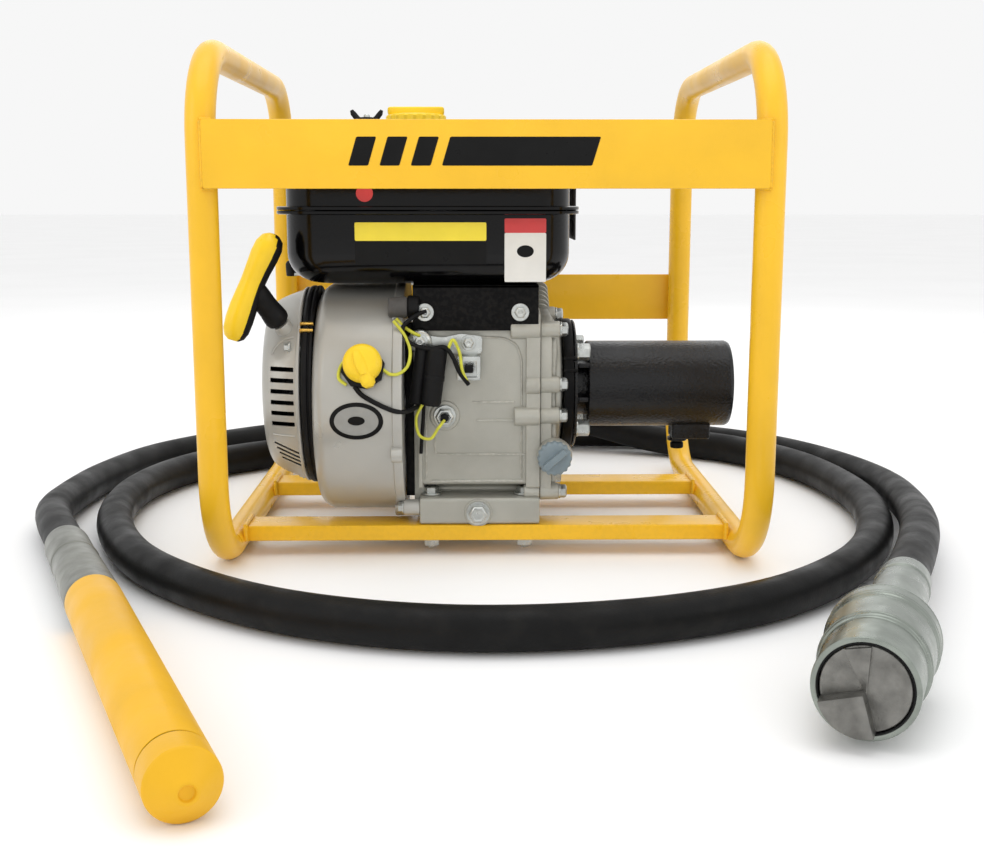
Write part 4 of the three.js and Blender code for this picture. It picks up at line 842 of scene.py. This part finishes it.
def make_intake():
    cx, cy = -112, 130
    base = loft((cx - 48, cx + 48), (cy - 48, cy + 48), [(240, 6, 12), (240.4, 3, 13), (243, 0, 14),
        (260.8, 0, 14), (261.6, 0.8, 14)])
    horn = lathe([(0, 0), (0, 15), (30, 13), (30, 0)], (-66, 78, 247), (0, 1, 0.1), 32, 2)
    stud = lathe([(0, 0), (0, 3), (99, 3), (100, 2.2), (100, 0)], (cx, cy, 262), UP, 16, 0.4)
    clips = [box((a, a + 2.4), (cy - 9, cy + 9), (244, 270), 0.8) for a in (cx - 51.4, cx + 49)]
    piece("air_cleaner_tray", {PLASTIC: [base, horn], ZINC: [stud, *clips]}, "air_cleaner_base")
    levels = [(262, 0.8, 18), (262.8, 0, 18), (266, 0, 18), (266.6, 1.6, 18)]
    levels += shoulder(334, 1.6, 14, (18, 5), 10)
    hood = loft((cx - 50, cx + 50), (cy - 50, cy + 50), [*levels, (348.3, 30, 10)])
    ribs = [box((cx + d - 1.3, cx + d + 1.3), (cy - 30, cy + 30), (347, 350), 0.9)
        for d in (-26, -13, 13, 26)]
    louvres = [box((cx + 48.2, cx + 50), (cy - 30, cy + 30), (280 + 8 * k, 283 + 8 * k), 0.7)
        for k in range(5)]
    boss = lathe([(0, 0), (0, 13), (3, 11), (3, 0)], (cx, cy, 347), UP, 36, 1)
    piece("air_cleaner_hood", {PLASTIC: [hood, *ribs, *louvres, boss]}, "air_cleaner_cover")
    pleats = knurled("XY", cx, cy, [(z, 36.5, 1.4) for z in (263, 331)], 40, 240)
    piece("filter_cartridge", {FOAM: [pleats]}, "air_filter_element")
    hub = lathe([(0, 3.2), (0, 8), (6, 7.4), (9, 6), (9, 3.2)], (cx, cy, 350.4), UP, 32, 0.8)
    wings = [sweep([(cx + s * 4, cy, 355), (cx + s * 9, cy, 358), (cx + s * 13, cy, 363),
        (cx + s * 14.5, cy, 366)], [3.2, 3.4, 3.2, 1.8], 16, flat=0.6) for s in (-1, 1)]
    piece("air_cleaner_wing", {PLASTIC: [hub, *wings]}, "air_cleaner_wing_nut", "air_cleaner_nut")

    body = sheet((-70, -40), (226, 262), (44, 78), 7, 1.6)
    bowl = lathe([(0, 0), (0, 9), (3, 12), (17, 12), (18, 14), (20, 14), (20, 0)],
        (CARB_X, CARB_Y, 208), UP, 36, 1)
    flanges = [sheet((-69, -34), (229, 258), (a, a + 3), 8, 0.6) for a in (42.5, 76)]
    pipe = sweep(catmull([(-56, 76, 246), (-58, 84, 244), (-66, 92, 243)], 5), 13, 24)
    screws = bolts_at([(a, 42.4, 243.5) for a in (-64, -39)], FRONT, 7, 3.5, 4.4)
    screws += hexagon((CARB_X, CARB_Y, 208.2), DOWN, 8, 3, 5)
    fuel = wire([(-60, 66, 226), (-52, 74, 218), (-40, 70, 214), (-34, 40, 214), (-34, 20, 216)], 3.2, 10)
    piece("carburettor_body", {BARE: [body, bowl, *flanges, pipe], ZINC: screws,
        PLASTIC: [fuel]}, "carburettor")
    for name, node, rides_on, z, degrees in (("choke_arm", "choke_lever", "choke", 254, 150),
            ("fuel_valve_arm", "fuel_valve_lever", "fuel_valve", 236, 200)):
        a = radians(degrees)
        end = Vector((LEVER_X, CARB_Y + LEVER_LONG * cos(a), z + LEVER_LONG * sin(a)))
        hub = lathe([(0, 0), (0, 7), (4, 6.6), (4, 0)], (LEVER_X + 2, CARB_Y, z), LEFT, 32, 0.8)
        arm = sweep([(LEVER_X, CARB_Y, z), (LEVER_X, CARB_Y + 8 * cos(a), z + 8 * sin(a)), end],
            [3.4, 2.6, 2.4], 14, flat=0.6)
        knob = lathe([(0, 0), (0, 3), (1, 4.2), (5.4, 4.2), (6, 0)], end + Vector((3, 0, 0)), LEFT, 24, 0.9)
        piece(name, {PLASTIC: [hub, arm, knob]}, node, rides_on)
    plate = prism([(-140, 46), (-51, 46), (-51, 76), (-140, 76)], 208, 211, "XY", 6, 0.5)
    spring = sweep([(-112 + 30 * t, 70 + 2.2 * cos(60 * t), 213.2 + 2.2 * sin(60 * t))
        for t in (k / 200 for k in range(201))], 0.5, 6)
    stops = bolts_at([(a, 52, 211) for a in (-104, -92)], UP, 6, 3, 4.2)
    piece("control_plate_pressing", {ZINC: [carve(plate, [rod(14.4, 12, (CARB_X, CARB_Y, 204), UP, 32, 0)]),
        spring, *stops]}, "control_plate")
    pivot = hexagon((-126, 59, 212), UP, 9, 3.4, 8.6)
    arm = prism([(-182, 55), (-126, 53), (-117, 59), (-126, 65), (-182, 63)], 212.5, 215.2, "XY", 4, 0.5)
    knob = lathe([(0, 0), (0, 5), (11, 5.6), (14, 4), (14, 0)], (-178, 59, 212), UP, 28, 1)
    piece("throttle_arm", {ZINC: [*pivot, arm], PLASTIC: [knob]}, "throttle_lever", "throttle")


def make_exhaust():
    can = loft((-26, 78), (76, 176), [(238, 8, 12), (239, 3, 14), (243, 0, 16), (283, 0, 16),
        (284, -1.2, 16), (286, -1.2, 16), (287, 0, 16), (325, 0, 16), (329, 3, 14), (330, 8, 12)])
    pipe = sweep(catmull([(20, 50, 222), (20, 54, 240), (20, 64, 254), (20, 84, 258)], 8), 10, 28)
    flange = sheet((-2, 42), (238, 262), (52, 56), 9, 0.8)
    tail = lathe([(0, 7.4), (0, 9), (15, 9), (15.6, 8.2), (15.6, 7.4)], (60, 170, 300), BACK, 36, 0.4)
    nuts = bolts_at([(a, 52, 250) for a in (4, 36)], FRONT, 9, 5, 6)
    piece("exhaust_box", {EXHAUST: [can, pipe, flange, tail], ZINC: nuts}, "muffler")
    x, y, z = (-30, 87), (82, 186), (244, 338)
    outside = loft(x, y, [(z[0], 0, 9), (332, 0, 9), (336, 2, 8), (337.6, 5, 7), (338, 9, 6)])
    tools = [box((x[0] + 1.8, x[1] - 1.8), (40, y[1] - 1.8), (200, z[1] - 1.8), 1)]
    for k in range(5):
        tools.append(box((-6 + 15 * k, 1 + 15 * k), (100, 168), (330, 345), 1.4))
        tools.append(box((80, 95), (104 + 14 * k, 110 + 14 * k), (262, 322), 1.4))
        tools.append(box((-40, -20), (104 + 14 * k, 110 + 14 * k), (262, 322), 1.4))
        tools.append(box((-14 + 13 * k, -8 + 13 * k), (180, 195), (262, 322), 1.4))
    tools.append(rod(13, 40, (60, 160, 300), BACK, 36, 0))
    piece("exhaust_guard", {SATIN_BLACK: [carve(outside, tools)]}, "muffler_guard")


# ---- small parts on the front
def make_front_details():
    lean = (0, -0.92869, 0.37086)
    at = Vector((-94.6, -165.4, 155))
    rim = lathe([(0.2, 0), (0.2, 17), (4, 17), (5, 15.6), (5, 0)], at, lean, 8, 0.5, turn=radians(12))
    def skim(*spots):
        return [on_shroud(x, z, 2) for x, z in spots]
    wires = [wire([*skim((-101, 142), (-96, 136), (-88, 131), (-78, 126), (-70, 123)), (-63, -170, 122),
        (-53, -150, 123)], 1.9)]
    green = [wire(skim((-107, 163), (-112, 156), (-113, 148), (-107, 143)), 1.3),
        wire([*skim((-80, 155), (-74, 151), (-68, 151)), (-61, -163, 156), (-59, -156, 168),
        (-64, -152, 180), (-72, -150, 190)], 1.3)]
    piece("switch_rim", {PLASTIC: [rim, *wires], WIRE_GREEN: green}, "switch_body")
    across = Vector(RIGHT)
    down = Vector((0, -0.37086, -0.92869))
    tip = (across * 0.36 + down).normalized()
    dial = lathe([(5.3, 0), (5.3, 13.8), (7, 15.2), (13, 14.6), (16, 11), (17, 0)],
        at - down * 1.8, lean, 48, 1.8)
    pointer = sweep([at + Vector(lean) * 11 + tip * d for d in (0, 6, 12, 16, 18.4)],
        [7.4, 7, 6.2, 5.6, 3.2], 24, flat=0.85)
    ridge = sweep([at + Vector(lean) * 14.6 + tip * d for d in (-10, -4, 4, 9)],
        [4.4, 6.4, 6.4, 4.6], 24, flat=0.55)
    piece("switch_dial", {YELLOW_PLASTIC: [dial, pointer, ridge]}, "switch_knob", "switch")

    low, high = Vector((-44, -151, 124)), Vector((-38, -151, 170))
    tube = lathe([(0, 0), (0, 7.2), (2, 8.2), (44.4, 8.2), (46.4, 7.2), (46.4, 0)], low, high - low, 40, 1)
    slim = rod(5.4, 44, low + Vector((-11.5, 2, 1)), high - low, 28, 1)
    strap = lathe([(20, 0), (20, 8.6), (24, 8.6), (24, 0)], low, high - low, 40, 0.3)
    black = [wire([(-49, -148, 124), (-50, -147, 110), (-51, -144, 98), (-52, -141, 84)], 1.5),
        wire([(-47, -143, 197), (-56, -147, 193), (-65, -150, 184), (-60, -153, 174), (-44, -156, 169),
        (-32, -156, 170), (-26, -155, 162), (-21, -152, 150), (-14, -149, 140)], 1.7)]
    green = [wire([(-50, -152, 125), (-55, -153, 114), (-52, -153, 100), (-44, -154, 98), (-38, -154, 106),
        (-33, -150, 112)], 1.2), wire([(-30, -155, 168), (-26, -157, 176), (-21, -154, 166),
        (-19, -152, 152), (-15, -149, 142)], 1.3),
        wire([(-70, -143, 191), (-64, -146, 185), (-56, -148, 180), (-52, -145, 178)], 1.3)]
    piece("oil_alert_module", {PLASTIC: [tube, slim, strap, *black], WIRE_GREEN: green}, "oil_alert_unit")
    strip = prism([(-56.5, 162), (-44, 162), (-34, 165), (-10, 161), (-3.4, 164), (-3.2, 177), (-20, 179),
        (-34, 176), (-56.5, 179)], -140.4, -138.2, "XZ", 2.5, 0.6)
    cup = lathe([(0, 0), (0, 9.6), (3, 9.2), (5, 6.4), (5, 0)], (-52, -140, 173), FRONT, 32, 1)
    cup_bolts = [*hexagon((-52, -144, 173), FRONT, 8, 4, 6), *hexagon((-14, -140.4, 172), FRONT, 7.5, 4, 6)]
    socket = carve(box((-23, -4.6), (-149, -138.5), (143, 162), 1.2),
        [box((-20, -7.5), (-152, -143), (145.5, 158.5), 0.4)])
    piece("wiring_bracket_pressing", {ZINC: [strip, cup, *cup_bolts, socket],
        PLASTIC: [box((-17, -10.5), (-149, -142), (149, 155), 0.8)]}, "wiring_bracket")
    sensor = [lathe([(0, 0), (0, 9.4), (2.6, 9), (2.6, 0)], (SENSOR_X, -135.6, SENSOR_Z), FRONT, 40, 0.8),
        *hexagon((SENSOR_X, -138, SENSOR_Z), FRONT, 13, 6)]
    tip = lathe([(0, 0), (0, 3.6), (5, 3), (5, 0)], (SENSOR_X, -143.5, SENSOR_Z), FRONT, 20, 0.6)
    piece("oil_sensor_nut", {ZINC: sensor, PLASTIC: [tip]}, "oil_level_sensor")
    levels = [(0, 12.6, 0), (0.6, 13.4, 0.5), (6, 13.2, 0.5), (7.2, 12.2, 0.2), (7.8, 10.6, 0)]
    knob = knurled("XZ", 54, 80, [(-140.2 - s, r, wave) for s, r, wave in levels], 16, 128)
    bar = box((-11, 11), (-7, 0), (-2.6, 2.6), 1.4, 3)
    bar = moved(bar, Matrix.Translation((54, -147, 80)) @ Matrix.Rotation(-0.7, 4, "Y"))
    piece("oil_filler_knob", {CAP_GREY: [knob, bar]}, "oil_filler_cap", "dipstick_cap")
    drain = hexagon((-6.7, -141.4, 35), FRONT, 13, 6, 9.5)
    piece("oil_drain_plug", {ZINC: drain}, "oil_drain_bolt")


# ---- drive end and mounting
def make_drive_end():
    disc = lathe([(61.9, 14.5), (61.9, 52.6), (63, 54), (69, 54), (70.2, 53), (70.2, 14.5)],
        CRANK, RIGHT, 96, 0.6)
    notches = [moved(box((61.9, 73), (a, a + 2.2), (50, 54.4), 0.5), around(CRANK, 65, "X"))
        for a in (-7, 3)]
    spots = [(73.1, CRANK_Y + y, CRANK_Z + z) for y in (-32.5, 32.5) for z in (-32, 30)]
    bolts = bolts_at(spots, RIGHT, 12, 9.4, 7.2)
    piece("adapter_ring", {SATIN_BLACK: [disc, *notches]}, "adapter_flange")
    root = lathe([(70.6, 14.5), (70.6, 52.6), (72, 53), (73, 52), (73, 27.5), (74, 26), (85, 26),
        (85, 14.5)], CRANK, RIGHT, 96, 0.5)
    webs = [box((72.5, 84), (CRANK_Y + a, CRANK_Y + b), (CRANK_Z + c - 2, CRANK_Z + c + 2), 1) for a, b,
        c in ((-33, -10, 19), (-33, -10, -9), (10, 33, 19), (10, 33, -19))]
    tube = lathe([(82.8, 20), (82.8, 34.4), (84, 35.5), (198.6, 35.5), (201.4, 34), (201.4, 29.8),
        (200.6, 29), (86.5, 29), (86.5, 20)], CRANK, RIGHT, 96, 0.7)
    boss = box((155, 187), (CRANK_Y - 12, CRANK_Y + 12), (85, 100), 2.6, 3)
    collar = lathe([(0, 4.6), (0, 8), (3, 8), (3, 4.6)], (LOCK_X, CRANK_Y, 82.6), UP, 36, 0.6)
    piece("coupling_tube", {PEEL: [root, *webs, tube, boss, collar], ZINC: bolts}, "coupling_housing")
    pin = lathe([(0, 0), (0, 4.8), (0.8, 5.5), (4.6, 5.5), (5.4, 4.4), (8, 4.4), (9, 4), (26, 4), (27, 3),
        (27, 0)], (LOCK_X, CRANK_Y, 76), UP, 36, 0.4)
    piece("lock_plunger", {SATIN_BLACK: [pin]}, "lock_pin", "coupling_lock")
    hub = lathe([(92, 9.9), (92, 23), (93, 24), (129, 24), (130, 23), (130, 9.9)], CRANK, RIGHT, 56, 0.6)
    jaws = [box((126, 144), (CRANK_Y + a, CRANK_Y + b), (CRANK_Z - 11, CRANK_Z + 11), 1.4)
        for a, b in ((9, 22), (-22, -9))]
    piece("drive_jaws", {DULL: [hub, *jaws]}, "drive_dog", "crank")


def make_bolts():
    for name, x, y, top in (("front_left", -44.5, RAIL_Y["front"], 47.3),
            ("front_right", 31, RAIL_Y["front"], 47.3), ("rear_left", -44.5, RAIL_Y["rear"], 41.3),
            ("rear_right", 31, RAIL_Y["rear"], 41.3)):
        parts = [*hexagon((x, y, top), UP, 11.5, 5, 8.5), *hexagon((x, y, 12.3), DOWN, 11.5, 6.4, 8.2)]
        long = top - 3
        parts.append(lathe([(0, 0), (0, 3.2), (0.8, 3.9), (long, 3.9), (long, 0)], (x, y, 3), UP, 20, 0.3))
        piece(f"foot_bolt_{name}", {ZINC: parts}, f"mount_bolt_{name}")


# ---- hidden CAD pieces keep their shape
def dress_hidden():
    looks = {"crankshaft": DULL, "flywheel_fan": BARE, "camshaft": DULL, "piston": BARE,
        "connecting_rod": BARE, "flexible_shaft": DULL, "eccentric_rotor": DULL}
    for name, material in looks.items():
        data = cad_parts[name].data
        data.materials.clear()
        data.materials.append(material)


def make_floor():
    floor = bmesh.new()
    corners = [floor.verts.new(p) for p in ((-9, -6, -0.0004), (9, -6, -0.0004), (9, 30, -0.0004),
        (-9, 30, -0.0004))]
    floor.faces.new(corners)
    mesh = bpy.data.meshes.new("studio_floor")
    floor.to_mesh(mesh)
    floor.free()
    mesh.materials.append(FLOOR)
    add("studio_floor", mesh)


make_camera()
hose = make_hose()
coupling, dog = make_coupling()
make_lights()
collar, barrel, point = make_head()
make_frame()
make_crankcase()
make_side_cover()
make_cylinder_top()
make_shroud()
make_recoil()
make_tank()
make_intake()
make_exhaust()
make_front_details()
make_drive_end()
make_bolts()
dress_hidden()
make_floor()
